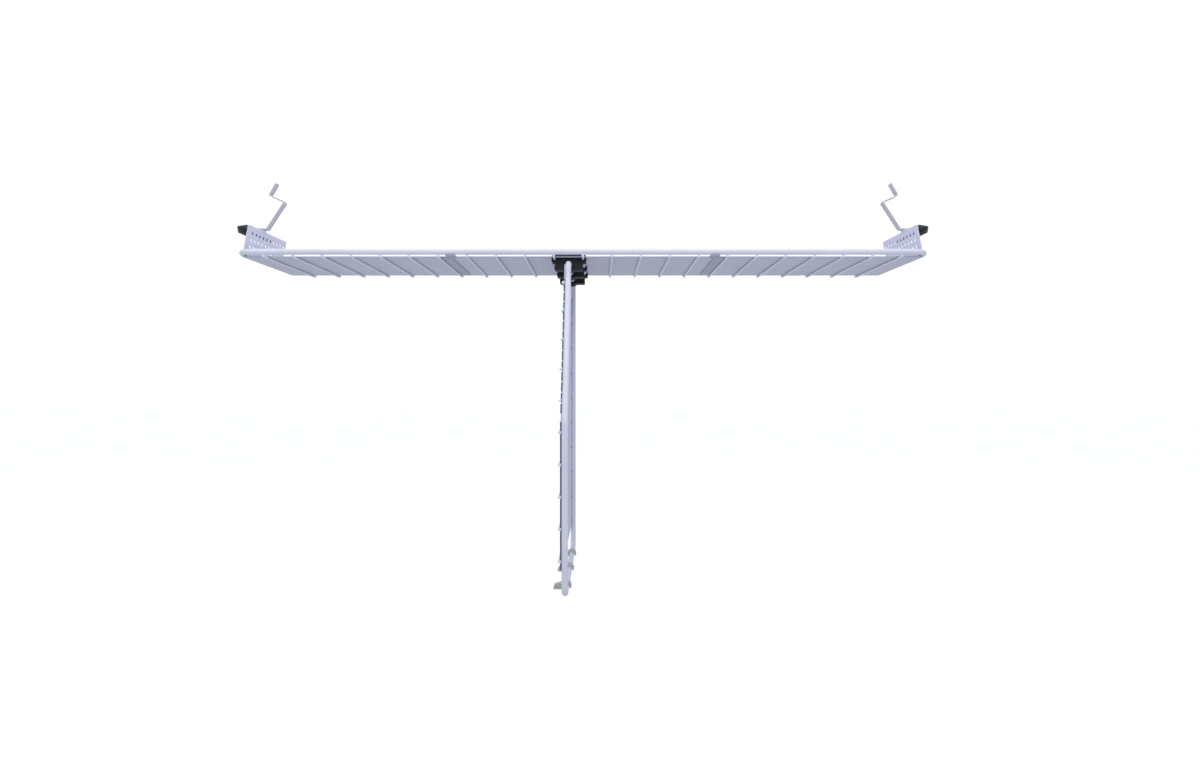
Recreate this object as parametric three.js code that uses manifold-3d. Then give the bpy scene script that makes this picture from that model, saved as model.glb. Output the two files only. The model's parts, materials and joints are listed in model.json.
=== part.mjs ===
// A wall mounted drying rack with a fold down wing, in millimetres, +Z up.
// The origin is on the wall, at the middle of the rack's length and at the height of its tubes.
// +X runs along the rack, the wall is the plane Y = 0 and the rack stands out from it towards -Y.

import * as THREE from "three";
import { mergeVertices } from "three/addons/utils/BufferGeometryUtils.js";
import Module from "manifold-3d";

const wasm = await Module();
wasm.setup();

// ---------------------------------------------------------------- driving dimensions

const GAP = 0.3; // clearance between pieces that touch
const SPARE = 5; // how far a cutting tool runs past the face that it opens

// bent steel tube, the same stock for both frames
const TUBE_R = 5;
const TUBE_WALL = 1;
const TUBE_SIDES = 12;
const BEND_STEPS = 5; // chords in a quarter bend
const PLUG_LENGTH = 30; // swaged end of a tube, inside the end that it meets
const PLUG_ROOT = 12; // length over which the swage tapers inside its own tube
const BUTT_GAP = 0.6;

// rack frame, measured between tube centres
const RACK_LENGTH = 1192;
const RACK_DEPTH = 190;
const RACK_BEND_R = 22;
const WALL_TO_BACK_TUBE = 15;
const RACK_JOINT_PITCHES = 6.5; // rung pitches left of the middle, where the tube's two lengths meet

// wire rungs
const RUNG_R = 2;
const RUNG_SIDES = 8;
const RACK_RUNGS = 23;
const RUNG_END_GAP = 46; // last rung to the end tube's centre
const RUNG_OVERRUN = 2; // how far a rung's tip passes the middle of the tube it is welded to
const RUNG_CRANK = 9; // length of the cranked tip
const RUNG_BEND_R = 4;
const WING_RUNGS = 10;

// sheets laid between tubes and rungs
const SHEET_T = 1.2;
const SHEET_FRONT_SETBACK = 11.5; // from the front tube's centre: leaves a see-through slot
const SHEET_BACK_SETBACK = 6;
const SHEET_END_SETBACK = 2;

// wing, measured down from the hinge axis or in depth from the rack's front tube
const AXIS_DROP = 19.5; // hinge axis below the rack tubes' centres
const WING_LENGTH = 536.5;
const WING_OVERHANG = 4; // each wing side stands this far outside the rack's long tubes
const WING_FLARE = 102; // how far the front side swings forward
const FLARE_START = 22;
const FLARE_END = 268;
const WING_HINGE_BEND_R = 12;
const WING_BEND_R = 12;
const FLARE_BEND_R = 40;
const WING_FIRST_RUNG = 35;
const WING_LAST_MARGIN = 51.5; // last rung to the bottom tube
const WING_SHEET_TOP = 33;
const WING_SHEET_MARGIN = 35; // sheet's lower edge above the bottom tube
const WING_EAR_TOP = 3; // the sheet's front strip, which rises past the front clip
const WING_EAR_GAP = 2; // between that strip and the clip

// hinge clips: a block that holds the hinge tube and hooks round two rungs, and a cap above the sheet
const CLIP_WIDTH = 22;
const CLIP_SETBACK = 16; // from the tube centres to the outer clips
const EAR_REACH = 5.3; // outside the rung's centre
const EAR_DEPTH = 7.5; // below the block's top
const BLOCK_DEPTH = 20.7;
const BLOCK_INSET = 0.5; // block's side inside the rung's centre
const LOBE_R = 11.5;
const BORE_R = TUBE_R + GAP;
const CAP_T = 5;
const CAP_CHAMFER = 3.2;
const BLOCK_CHAMFER = 1;
const BORE_SIDES = 16;
const SCREW_HOLE_R = 1.8; // for the M3 screws that clamp cap, sheet and block
const SCREW_HOLE_DEPTH = 21; // below the cap's top
const SCREW_INSET = 8; // from the rung's centre towards the hinge axis

// perforated end brackets, bent from sheet
const BRACKET_T = 1.6;
const BRACKET_LENGTH = 126; // from the front tube's centre
const BRACKET_FOOT_INSET = 8.6; // outer face of the plate's foot inside the end tube's centre
const BRACKET_HEIGHT = 47.2; // top edge above the tubes' centres
const BRACKET_LEAN = 10.6; // top edge further in than the foot
const FLANGE_WIDTH = 41.4;
const HOLE_R = 2.7;
const HOLE_SIDES = 8;
const HOLE_COLUMNS = 10;
const HOLE_FRONT_MARGIN = 16;
const HOLE_BACK_MARGIN = 6.8;
const HOLE_ROWS = [12, 23.4, 34.8]; // below the top edge
const TAB_RISE = 2.6; // upstand that carries the strap
const TAB_RAMP_START = 20; // from the bracket's front edge
const TAB_SEAT_START = 42.8;
const TAB_SEAT_LENGTH = 11;

// edge grips: folded strips outside the end brackets
const GRIP_T = 1.5;
const GRIP_REACH = 18.6;
const GRIP_FALL = 2.8; // slope of the top, outwards
const GRIP_LIP = 10.8;
const GRIP_LIP_LEAN = 1.8;
const GRIP_LEG = 6;
const GRIP_LENGTH = 110;

// zig-zag straps on the brackets
const STRAP_T = 1.8;
const STRAP_WIDTH = 12;
const STRAP_ZIGZAG = [[-6, 0], [7, 0], [38.6, 48.5], [11.5, 60.2], [24.1, 82.5]]; // from the tab's top

// stiffener strips under the sheet
const STRUT_T = 1.5;
const STRUT_WIDTH = 17;
const STRUT_TAB_WIDTH = 17;
const STRUT_TAB_SHIFT = 9; // the tab sits nearer the middle of the rack than the strip
const STRUT_RUNG = 5; // the strip lies inside this rung, counted from the middle
const STRUT_RUNG_GAP = 2;
const STRUT_TAB_FRONT = 3; // in front of the front tube's centre
const STRUT_STEP_START = 7;
const STRUT_STEP_END = 10;
const STRUT_BACK_SETBACK = 17; // short of the back tube's centre
const STRUT_TAB_BACK = 16;
const STRUT_NECK = 12; // behind the front tube's centre, where the strip takes its full width

// wall brackets welded on the back tube
const WALL_BRACKET_PITCHES = 8.5; // rung pitches from the middle of the rack
const WALL_BRACKET_WIDTH = 34;
const WALL_BRACKET_T = 3;
const WALL_BRACKET_TOP = 32;
const WALL_BRACKET_BOTTOM = -3;
const WALL_BRACKET_LEG = 23; // out from the wall
const WALL_HOLE_R = 2.75;
const WALL_HOLE_SPACING = 18;
const WALL_HOLE_HEIGHT = 21;

// snap-on hooks on the wing's bottom tube
const HOOK_WIDTH = 14;
const HOOK_WALL = 3;
const HOOK_REACH = 20.8;
const HOOK_FLOOR_INSET = 0.9; // beak's lower edge above the tube's underside
const HOOK_BEAK_T = 6.5; // height of the beak's blunt tip
const HOOK_TIP_SLANT = 0.6;
const HOOK_NOSE = [1.7, 2.2]; // chamfer above the tip
const HOOK_HEEL_INSET = 0.8; // where the beak's floor meets the mouth, inside the tube's side
const HOOK_MOUTH = [222, 342]; // open part of the ring, in degrees
const HOOK_SHOULDER = 138; // where the beak leaves the ring's outside
const HOOK_FRONT_SETBACK = 46; // first hook behind the wing's front side
const HOOK_PITCH = 97;

// ---------------------------------------------------------------- derived places

const BACK_Y = -WALL_TO_BACK_TUBE;
const FRONT_Y = BACK_Y - RACK_DEPTH;
const HALF_LENGTH = RACK_LENGTH / 2;
const RUNG_PITCH = (RACK_LENGTH - 2 * RUNG_END_GAP) / (RACK_RUNGS - 1);
const SHEET_TOP = -TUBE_R - GAP;
const SHEET_BOTTOM = SHEET_TOP - SHEET_T;
const RUNG_Z = SHEET_BOTTOM - GAP - RUNG_R;
const RUNG_TIP_Z = -TUBE_R - GAP - RUNG_R;

const AXIS_X = -RUNG_PITCH / 2;
const AXIS_Z = -AXIS_DROP;
const WING_FRONT_Y = FRONT_Y - WING_OVERHANG;
const WING_BACK_Y = BACK_Y + WING_OVERHANG;
const WING_FLARED_Y = WING_FRONT_Y - WING_FLARE;
const WING_BOTTOM_Z = AXIS_Z - WING_LENGTH;
const WING_RUNG_PITCH = (WING_LENGTH - WING_FIRST_RUNG - WING_LAST_MARGIN) / (WING_RUNGS - 1);
const WING_SHEET_X = AXIS_X - TUBE_R - GAP; // the face nearest the tubes
const WING_RUNG_X = WING_SHEET_X - SHEET_T - GAP - RUNG_R;

const CLIP_YS = [
  FRONT_Y + CLIP_SETBACK + CLIP_WIDTH / 2,
  (FRONT_Y + BACK_Y) / 2,
  BACK_Y - CLIP_SETBACK - CLIP_WIDTH / 2,
];
const CLIP_NAMES = ["front", "middle", "back"];
const SCREW_XS = [AXIS_X - RUNG_PITCH / 2 + SCREW_INSET, AXIS_X + RUNG_PITCH / 2 - SCREW_INSET];
const CAP_BOTTOM = SHEET_TOP + GAP;
const BLOCK_TOP = SHEET_BOTTOM - GAP;

// ---------------------------------------------------------------- finishes

const finish = (color, roughness, metalness) =>
  new THREE.MeshStandardMaterial({ color, roughness, metalness });
const POWDER_COAT = finish(0xe4e6f4, 0.45, 0.1);
const SHEET_COAT = finish(0xb9bfd6, 0.55, 0.1);
const BRACKET_COAT = finish(0xc4c8dc, 0.5, 0.1);
const BLACK_PLASTIC = finish(0x24262a, 0.6, 0);
const GRIP_BLACK = finish(0x2a2e2e, 0.65, 0);
const HOOK_PLASTIC = finish(0x9aa295, 0.6, 0);

// ---------------------------------------------------------------- shape tools

const point = (x, y) => new THREE.Vector2(x, y);

// A closed outline with this many sides round a centre.
function ring(radius, sides, x = 0, y = 0) {
  const corner = (_, i) => {
    const angle = (i + 0.5) * 2 * Math.PI / sides;
    return point(x + radius * Math.cos(angle), y + radius * Math.sin(angle));
  };
  return Array.from({ length: sides }, corner);
}

// Points on an arc, both ends included, angles in degrees.
function arc(x, y, radius, from, to, steps) {
  const at = (_, i) => {
    const angle = THREE.MathUtils.degToRad(from + (to - from) * i / steps);
    return point(x + radius * Math.cos(angle), y + radius * Math.sin(angle));
  };
  return Array.from({ length: steps + 1 }, at);
}

function shapeOf(outline, holes = []) {
  const shape = new THREE.Shape(outline);
  for (const hole of holes) shape.holes.push(new THREE.Path(hole));
  return shape;
}

const extrude = (shape, depth) => new THREE.ExtrudeGeometry(shape, { depth, bevelEnabled: false });

// An outline drawn in (x, z), running from y0 to y1.
function alongY(outline, y0, y1, holes = []) {
  return extrude(shapeOf(outline, holes), y1 - y0).rotateX(Math.PI / 2).translate(0, y1, 0);
}

// An outline drawn in (y, z), running from x0 to x1.
function alongX(outline, x0, x1, holes = []) {
  return extrude(shapeOf(outline, holes), x1 - x0)
    .rotateZ(Math.PI / 2)
    .rotateY(Math.PI / 2)
    .translate(x0, 0, 0);
}

// An outline drawn in (x, y), running from z0 to z1.
function alongZ(outline, z0, z1, holes = []) {
  return extrude(shapeOf(outline, holes), z1 - z0).translate(0, 0, z0);
}

const rectangle = (x0, y0, x1, y1) => [point(x0, y0), point(x1, y0), point(x1, y1), point(x0, y1)];

// A route of straight runs joined by round bends, sampled only where it turns.
class BentRoute extends THREE.Curve {
  constructor(corners, radii, stepsPerQuarter) {
    super();
    this.stations = [];
    const last = corners.length - 1;
    const heading = (i) => corners[i + 1].clone().sub(corners[i]).normalize();
    this.stations.push({ at: corners[0].clone(), along: heading(0) });
    for (let i = 1; i < last; i += 1) {
      this.addBend(corners[i], heading(i - 1), heading(i), radii[i - 1], stepsPerQuarter);
    }
    this.stations.push({ at: corners[last].clone(), along: heading(last - 1) });
  }

  addBend(corner, before, after, radius, stepsPerQuarter) {
    const turn = before.angleTo(after);
    const steps = Math.ceil(stepsPerQuarter * turn / (Math.PI / 2));
    const setback = radius * Math.tan(turn / 2);
    const start = corner.clone().addScaledVector(before, -setback);
    const inward = after.clone().addScaledVector(before, -before.dot(after)).normalize();
    const centre = start.clone().addScaledVector(inward, radius);
    for (let k = 0; k <= steps; k += 1) {
      const angle = turn * k / steps;
      const at = centre.clone()
        .addScaledVector(inward, -radius * Math.cos(angle))
        .addScaledVector(before, radius * Math.sin(angle));
      const along = before.clone().multiplyScalar(Math.cos(angle))
        .addScaledVector(inward, Math.sin(angle));
      this.stations.push({ at, along });
    }
  }

  get steps() {
    return this.stations.length - 1;
  }

  getPoint(t, target = new THREE.Vector3()) {
    return target.copy(this.stations[Math.round(t * this.steps)].at);
  }

  getPointAt(u, target) {
    return this.getPoint(u, target);
  }

  getTangentAt(u, target = new THREE.Vector3()) {
    return target.copy(this.stations[Math.round(u * this.steps)].along);
  }
}

const along = (route, shape) =>
  new THREE.ExtrudeGeometry(shape, { steps: route.steps, extrudePath: route, bevelEnabled: false });

// A hollow tube along a route, with both ends open.
function bentTube(corners, radii) {
  const section = shapeOf(ring(TUBE_R, TUBE_SIDES), [ring(TUBE_R - TUBE_WALL, TUBE_SIDES)]);
  return along(new BentRoute(corners, radii, BEND_STEPS), section);
}

// A tube's swaged end, from its root inside the tube's wall to its tip, pointing along +Y from the end face.
function plug() {
  const root = TUBE_R - TUBE_WALL / 2;
  const neck = (TUBE_R - TUBE_WALL) * Math.cos(Math.PI / TUBE_SIDES) - GAP;
  return new THREE.LatheGeometry([
    point(0, -PLUG_ROOT),
    point(root, -PLUG_ROOT),
    point(root, -BUTT_GAP),
    point(neck, 0),
    point(neck, PLUG_LENGTH),
    point(0, PLUG_LENGTH),
  ], TUBE_SIDES);
}

// A strip of constant thickness whose middle line is the given polyline.
function stripOutline(line, thickness) {
  const half = thickness / 2;
  const side = (sign) => line.map((p, i) => {
    const before = line[Math.max(i - 1, 0)];
    const after = line[Math.min(i + 1, line.length - 1)];
    const into = i > 0 ? p.clone().sub(before).normalize() : after.clone().sub(p).normalize();
    const out = i < line.length - 1 ? after.clone().sub(p).normalize() : into;
    const normal = point(-(into.y + out.y), into.x + out.x).normalize();
    const reach = half / normal.dot(point(-into.y, into.x));
    return p.clone().addScaledVector(normal, sign * reach);
  });
  return [...side(-1), ...side(1).reverse()];
}

// ---------------------------------------------------------------- booleans

function solidOf(geometry) {
  const bare = geometry.clone();
  bare.deleteAttribute("normal");
  bare.deleteAttribute("uv");
  const merged = mergeVertices(bare, 1e-4);
  const vertProperties = new Float32Array(merged.attributes.position.array);
  const triVerts = new Uint32Array(merged.index.array);
  return new wasm.Manifold(new wasm.Mesh({ numProp: 3, vertProperties, triVerts }));
}

function geometryOf(solid) {
  const { vertProperties, triVerts } = solid.getMesh();
  const geometry = new THREE.BufferGeometry();
  geometry.setAttribute("position", new THREE.BufferAttribute(vertProperties, 3));
  geometry.setIndex(new THREE.BufferAttribute(triVerts, 1));
  const flat = geometry.toNonIndexed();
  flat.computeVertexNormals();
  return flat;
}

function cut(body, tools) {
  let solid = solidOf(body);
  for (const tool of tools) solid = solid.subtract(solidOf(tool));
  return geometryOf(solid);
}

const join = (a, b) => geometryOf(solidOf(a).add(solidOf(b)));
const overlap = (a, b) => geometryOf(solidOf(a).intersect(solidOf(b)));

// ---------------------------------------------------------------- assembly

const group = new THREE.Group();

function add(parent, name, geometry, material) {
  const mesh = new THREE.Mesh(geometry, material);
  mesh.name = name;
  parent.add(mesh);
}

// One of the two lengths of the rack's tube, round the given side, with one swaged end.
function rackTube(side) {
  const end = side * BUTT_GAP / 2 - RACK_JOINT_PITCHES * RUNG_PITCH;
  const at = (x, y) => new THREE.Vector3(x, y, 0);
  const tube = bentTube([
    at(end, side * (BACK_Y - FRONT_Y) / 2 + (BACK_Y + FRONT_Y) / 2),
    at(side * HALF_LENGTH, side > 0 ? BACK_Y : FRONT_Y),
    at(side * HALF_LENGTH, side > 0 ? FRONT_Y : BACK_Y),
    at(end, side > 0 ? FRONT_Y : BACK_Y),
  ], Array(2).fill(RACK_BEND_R));
  const swage = plug().rotateZ(side * Math.PI / 2).translate(end, side > 0 ? FRONT_Y : BACK_Y, 0);
  return join(tube, swage);
}

// A straight wire with cranked tips, so that it clears the sheet and still meets both tubes.
function rackRung(x) {
  const front = FRONT_Y - RUNG_OVERRUN;
  const back = BACK_Y + RUNG_OVERRUN;
  const at = (y, z) => new THREE.Vector3(x, y, z);
  const route = new BentRoute([
    at(front, RUNG_TIP_Z),
    at(front + RUNG_CRANK, RUNG_Z),
    at(back - RUNG_CRANK, RUNG_Z),
    at(back, RUNG_TIP_Z),
  ], Array(2).fill(RUNG_BEND_R), 1);
  return along(route, shapeOf(ring(RUNG_R, RUNG_SIDES)));
}

function rackSheet() {
  const end = HALF_LENGTH - SHEET_END_SETBACK;
  const outline = rectangle(-end, FRONT_Y + SHEET_FRONT_SETBACK, end, BACK_Y - SHEET_BACK_SETBACK);
  const holes = CLIP_YS.flatMap((y) => SCREW_XS.map((x) => ring(SCREW_HOLE_R, HOLE_SIDES, x, y)));
  return alongZ(outline, SHEET_BOTTOM, SHEET_TOP, holes);
}

// Where the wing's front side runs, a given distance below the hinge axis.
function wingFrontY(drop) {
  const share = THREE.MathUtils.clamp((drop - FLARE_START) / (FLARE_END - FLARE_START), 0, 1);
  return WING_FRONT_Y - WING_FLARE * share;
}

const wingJointY = (CLIP_YS[0] + CLIP_YS[1]) / 2;

// The wing's tube: straight at the back, flared forward at the front, jointed between two clips.
function wingFrame() {
  const at = (y, drop) => new THREE.Vector3(AXIS_X, y, AXIS_Z - drop);
  const corners = [
    at(wingJointY - BUTT_GAP / 2, 0),
    at(WING_FRONT_Y, 0),
    at(WING_FRONT_Y, FLARE_START),
    at(WING_FLARED_Y, FLARE_END),
    at(WING_FLARED_Y, WING_LENGTH),
    at(WING_BACK_Y, WING_LENGTH),
    at(WING_BACK_Y, 0),
    at(wingJointY + BUTT_GAP / 2, 0),
  ];
  const radii = [
    WING_HINGE_BEND_R, FLARE_BEND_R, FLARE_BEND_R, WING_BEND_R, WING_BEND_R, WING_HINGE_BEND_R,
  ];
  const swage = plug().rotateZ(Math.PI).translate(AXIS_X, wingJointY + BUTT_GAP / 2, AXIS_Z);
  return join(bentTube(corners, radii), swage);
}

function wingSheet() {
  const bottom = WING_LENGTH - WING_SHEET_MARGIN;
  const back = WING_BACK_Y - RUNG_OVERRUN;
  const earBack = CLIP_YS[0] - CLIP_WIDTH / 2 - WING_EAR_GAP;
  const outline = [
    point(wingFrontY(WING_EAR_TOP), AXIS_Z - WING_EAR_TOP),
    point(wingFrontY(WING_SHEET_TOP), AXIS_Z - WING_SHEET_TOP),
    point(wingFrontY(FLARE_END), AXIS_Z - FLARE_END),
    point(wingFrontY(bottom), AXIS_Z - bottom),
    point(back, AXIS_Z - bottom),
    point(back, AXIS_Z - WING_SHEET_TOP),
    point(earBack, AXIS_Z - WING_SHEET_TOP),
    point(earBack, AXIS_Z - WING_EAR_TOP),
  ];
  return alongX(outline, WING_SHEET_X - SHEET_T, WING_SHEET_X);
}

function wingRung(drop) {
  const front = wingFrontY(drop) - RUNG_OVERRUN;
  const section = ring(RUNG_R, RUNG_SIDES, WING_RUNG_X, AXIS_Z - drop);
  return alongY(section, front, WING_BACK_Y + RUNG_OVERRUN);
}

// Drills for a clip's two screws, from a floor to past a top face.
const screwDrills = (y, floor, top) =>
  SCREW_XS.map((x) => alongZ(ring(SCREW_HOLE_R, HOLE_SIDES, x, y), floor, top + SPARE));

// The block's outline: two ears that hook under the rungs, a deep middle and a lobe round the tube.
function hingeBlock(y) {
  const rungGroove = RUNG_R + GAP;
  const half = RUNG_PITCH / 2;
  const floor = BLOCK_TOP - BLOCK_DEPTH;
  const earFloor = BLOCK_TOP - EAR_DEPTH;
  const lobeAngle = THREE.MathUtils.radToDeg(Math.acos((AXIS_Z - floor) / LOBE_R));
  const right = [
    point(half - rungGroove, BLOCK_TOP),
    ...arc(half, RUNG_Z, rungGroove, 180, 360, 6),
    point(half + rungGroove, BLOCK_TOP),
    point(half + EAR_REACH, BLOCK_TOP),
    point(half + EAR_REACH, earFloor + BLOCK_CHAMFER),
    point(half + EAR_REACH - BLOCK_CHAMFER, earFloor),
    point(half - BLOCK_INSET, earFloor),
    point(half - BLOCK_INSET, floor + BLOCK_CHAMFER),
    point(half - BLOCK_INSET - BLOCK_CHAMFER, floor),
    ...arc(0, AXIS_Z, LOBE_R, -90 + lobeAngle, -90, 3),
  ];
  const left = right.slice(0, -1).reverse().map((p) => point(-p.x, p.y));
  const outline = [...right, ...left].map((p) => point(AXIS_X + p.x, p.y)).reverse();
  const bore = ring(BORE_R / Math.cos(Math.PI / BORE_SIDES), BORE_SIDES, AXIS_X, AXIS_Z);
  const body = alongY(outline, y - CLIP_WIDTH / 2, y + CLIP_WIDTH / 2, [bore]);
  const holeFloor = CAP_BOTTOM + CAP_T - SCREW_HOLE_DEPTH;
  const drills = screwDrills(y, holeFloor, BLOCK_TOP);
  return cut(body, drills);
}

// The cap: a pad above the sheet with its four top edges bevelled.
function hingeCap(y) {
  const halfX = RUNG_PITCH / 2 + EAR_REACH;
  const halfY = CLIP_WIDTH / 2;
  const top = CAP_BOTTOM + CAP_T;
  const bevelled = (middle, half) => [
    point(middle - half, CAP_BOTTOM),
    point(middle + half, CAP_BOTTOM),
    point(middle + half, top - CAP_CHAMFER),
    point(middle + half - CAP_CHAMFER, top),
    point(middle - half + CAP_CHAMFER, top),
    point(middle - half, top - CAP_CHAMFER),
  ];
  const body = overlap(
    alongY(bevelled(AXIS_X, halfX), y - halfY, y + halfY),
    alongX(bevelled(y, halfY), AXIS_X - halfX, AXIS_X + halfX),
  );
  return cut(body, screwDrills(y, CAP_BOTTOM - SPARE, top));
}

// ---------------------------------------------------------------- pieces made for the right end
// side is 1 for the right end and -1 for the left, whose outlines are mirrored in x.

const sided = (side, outline) => {
  const placed = outline.map((p) => point(side * p.x, p.y));
  return side > 0 ? placed : placed.reverse();
};

const footX = HALF_LENGTH - BRACKET_FOOT_INSET; // outer face of the bracket at the sheet
const bracketTopX = footX - BRACKET_LEAN;
const bendInside = RACK_BEND_R - TUBE_R - GAP;
const footPastBend = Math.max(RACK_BEND_R - BRACKET_FOOT_INSET, 0);
const bracketRear = FRONT_Y + BRACKET_LENGTH;
const footFront = FRONT_Y + RACK_BEND_R - Math.sqrt(bendInside ** 2 - footPastBend ** 2);
const bracketFloor = SHEET_TOP + GAP;

// The x of the plate's outer face at a height.
function plateX(z) {
  const share = (z - bracketFloor) / (BRACKET_HEIGHT - bracketFloor);
  return footX - BRACKET_LEAN * share;
}

// The bracket's flange, which lies on the sheet.
function bracketFoot(side) {
  const flange = sided(side, [
    point(footX - FLANGE_WIDTH, bracketFloor),
    point(plateX(bracketFloor) - BRACKET_T - GAP, bracketFloor),
    point(plateX(bracketFloor + BRACKET_T) - BRACKET_T - GAP, bracketFloor + BRACKET_T),
    point(footX - FLANGE_WIDTH, bracketFloor + BRACKET_T),
  ]);
  return alongY(flange, footFront, bracketRear);
}

// The bracket's leaning plate, perforated, with an upstand for the strap and a notch over the tube's bend.
function endBracket(side) {
  const plate = sided(side, [
    point(footX - BRACKET_T, bracketFloor),
    point(footX, bracketFloor),
    point(bracketTopX, BRACKET_HEIGHT),
    point(bracketTopX - BRACKET_T, BRACKET_HEIGHT),
  ]);
  const tabRoot = BRACKET_HEIGHT - GAP;
  const tabSeat = FRONT_Y + TAB_SEAT_START;
  const tab = alongX([
    point(FRONT_Y + TAB_RAMP_START, tabRoot),
    point(tabSeat + TAB_SEAT_LENGTH, tabRoot),
    point(tabSeat + TAB_SEAT_LENGTH, BRACKET_HEIGHT + TAB_RISE),
    point(tabSeat, BRACKET_HEIGHT + TAB_RISE),
  ], 0, BRACKET_T).translate(side > 0 ? bracketTopX - BRACKET_T : -bracketTopX, 0, 0);
  const body = join(alongY(plate, FRONT_Y, bracketRear), tab);
  const span = [side * bracketTopX, side * (footX + SPARE)];
  const notch = alongX(rectangle(FRONT_Y - SPARE, bracketFloor - SPARE, footFront, TUBE_R + GAP),
    Math.min(...span), Math.max(...span));
  const pitch = (BRACKET_LENGTH - HOLE_FRONT_MARGIN - HOLE_BACK_MARGIN) / (HOLE_COLUMNS - 1);
  const firstY = FRONT_Y + HOLE_FRONT_MARGIN;
  const drills = HOLE_ROWS.flatMap((drop) => {
    const z = BRACKET_HEIGHT - drop;
    const x = side * plateX(z);
    const reach = 2 * BRACKET_T;
    const hole = (_, i) => alongX(ring(HOLE_R, HOLE_SIDES, firstY + i * pitch, z), x - reach, x + reach);
    return Array.from({ length: HOLE_COLUMNS }, hole);
  });
  return cut(body, [notch, ...drills]);
}

// A folded strip outside the plate: a short leg on the plate, a sloping top and a lip that leans in.
function edgeGrip(side) {
  const top = BRACKET_HEIGHT;
  const half = GRIP_T / 2;
  const legX = (z) => plateX(z) + GAP + half;
  const middle = [
    point(legX(top - half - GRIP_LEG), top - half - GRIP_LEG),
    point(legX(top - half), top - half),
    point(bracketTopX + GRIP_REACH, top - half - GRIP_FALL),
    point(bracketTopX + GRIP_REACH - GRIP_LIP_LEAN, top - half - GRIP_FALL - GRIP_LIP),
  ];
  return alongY(sided(side, stripOutline(middle, GRIP_T)), FRONT_Y, FRONT_Y + GRIP_LENGTH);
}

function strap(side) {
  const x = bracketTopX - BRACKET_T / 2;
  const z = BRACKET_HEIGHT + TAB_RISE + GAP + STRAP_T / 2;
  const middle = STRAP_ZIGZAG.map(([inward, up]) => point(x - inward, z + up));
  const y = FRONT_Y + TAB_SEAT_START + (TAB_SEAT_LENGTH - STRAP_WIDTH) / 2;
  return alongY(sided(side, stripOutline(middle.reverse(), STRAP_T)), y, y + STRAP_WIDTH);
}

// A thin strip under the sheet, stepped up at the front into a tab under the front tube.
function crossStrut(side) {
  const outer = STRUT_RUNG * RUNG_PITCH - RUNG_R - STRUT_RUNG_GAP;
  const inner = outer - STRUT_WIDTH;
  const tabOuter = outer - STRUT_TAB_SHIFT;
  const tabInner = tabOuter - STRUT_TAB_WIDTH;
  const low = SHEET_BOTTOM - GAP - STRUT_T / 2;
  const high = -TUBE_R - GAP - STRUT_T / 2;
  const line = [
    point(BACK_Y - STRUT_BACK_SETBACK, low),
    point(FRONT_Y + STRUT_STEP_END, low),
    point(FRONT_Y + STRUT_STEP_START, high),
    point(FRONT_Y - STRUT_TAB_FRONT, high),
  ].reverse();
  const blank = alongX(stripOutline(line, STRUT_T), Math.min(side * tabInner, side * outer),
    Math.max(side * tabInner, side * outer));
  const notch = (a, b, y0, y1) => alongZ(
    rectangle(Math.min(side * a, side * b), y0, Math.max(side * a, side * b), y1), low - SPARE, high + SPARE);
  return cut(blank, [
    notch(tabOuter, outer + SPARE, FRONT_Y - STRUT_TAB_FRONT - SPARE, FRONT_Y + STRUT_NECK),
    notch(tabInner - SPARE, inner, FRONT_Y + STRUT_TAB_BACK, BACK_Y),
  ]);
}

// An angle on the back tube: one leg on the wall with two screw holes, one leg over the tube.
function wallBracket(side) {
  const middle = side * WALL_BRACKET_PITCHES * RUNG_PITCH;
  const seat = TUBE_R + GAP;
  const angle = [
    point(-WALL_BRACKET_T, WALL_BRACKET_BOTTOM),
    point(0, WALL_BRACKET_BOTTOM),
    point(0, WALL_BRACKET_TOP),
    point(-WALL_BRACKET_T, WALL_BRACKET_TOP),
    point(-WALL_BRACKET_T, seat + WALL_BRACKET_T),
    point(-WALL_BRACKET_LEG, seat + WALL_BRACKET_T),
    point(-WALL_BRACKET_LEG, seat),
    point(-WALL_BRACKET_T, seat),
  ];
  const body = alongX(angle, middle - WALL_BRACKET_WIDTH / 2, middle + WALL_BRACKET_WIDTH / 2);
  const drills = [-1, 1].map((way) => alongY(
    ring(WALL_HOLE_R, TUBE_SIDES, middle + way * WALL_HOLE_SPACING / 2, WALL_HOLE_HEIGHT),
    -WALL_BRACKET_T - SPARE, SPARE));
  return cut(body, drills);
}

// A hook that snaps on the bottom tube from below, with a beak to one side.
function wingHook(y) {
  const inner = TUBE_R + GAP;
  const outer = inner + HOOK_WALL;
  const [mouthStart, mouthEnd] = HOOK_MOUTH;
  const drop = TUBE_R - HOOK_FLOOR_INSET;
  const noseTop = HOOK_BEAK_T - drop;
  const outline = [
    ...arc(0, 0, outer, mouthEnd - 360, HOOK_SHOULDER, 8),
    point(HOOK_TIP_SLANT + HOOK_NOSE[0] - HOOK_REACH, noseTop),
    point(HOOK_TIP_SLANT - HOOK_REACH, noseTop - HOOK_NOSE[1]),
    point(-HOOK_REACH, -drop),
    point(HOOK_HEEL_INSET - TUBE_R, -drop),
    ...arc(0, 0, inner, mouthStart, mouthEnd - 360, 12),
  ].map((p) => point(AXIS_X + p.x, WING_BOTTOM_Z + p.y));
  return alongY(outline, y - HOOK_WIDTH / 2, y + HOOK_WIDTH / 2);
}

// ---------------------------------------------------------------- build

const number = (i) => String(i + 1).padStart(2, "0");
const SIDES = [["left", -1], ["right", 1]];

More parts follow.
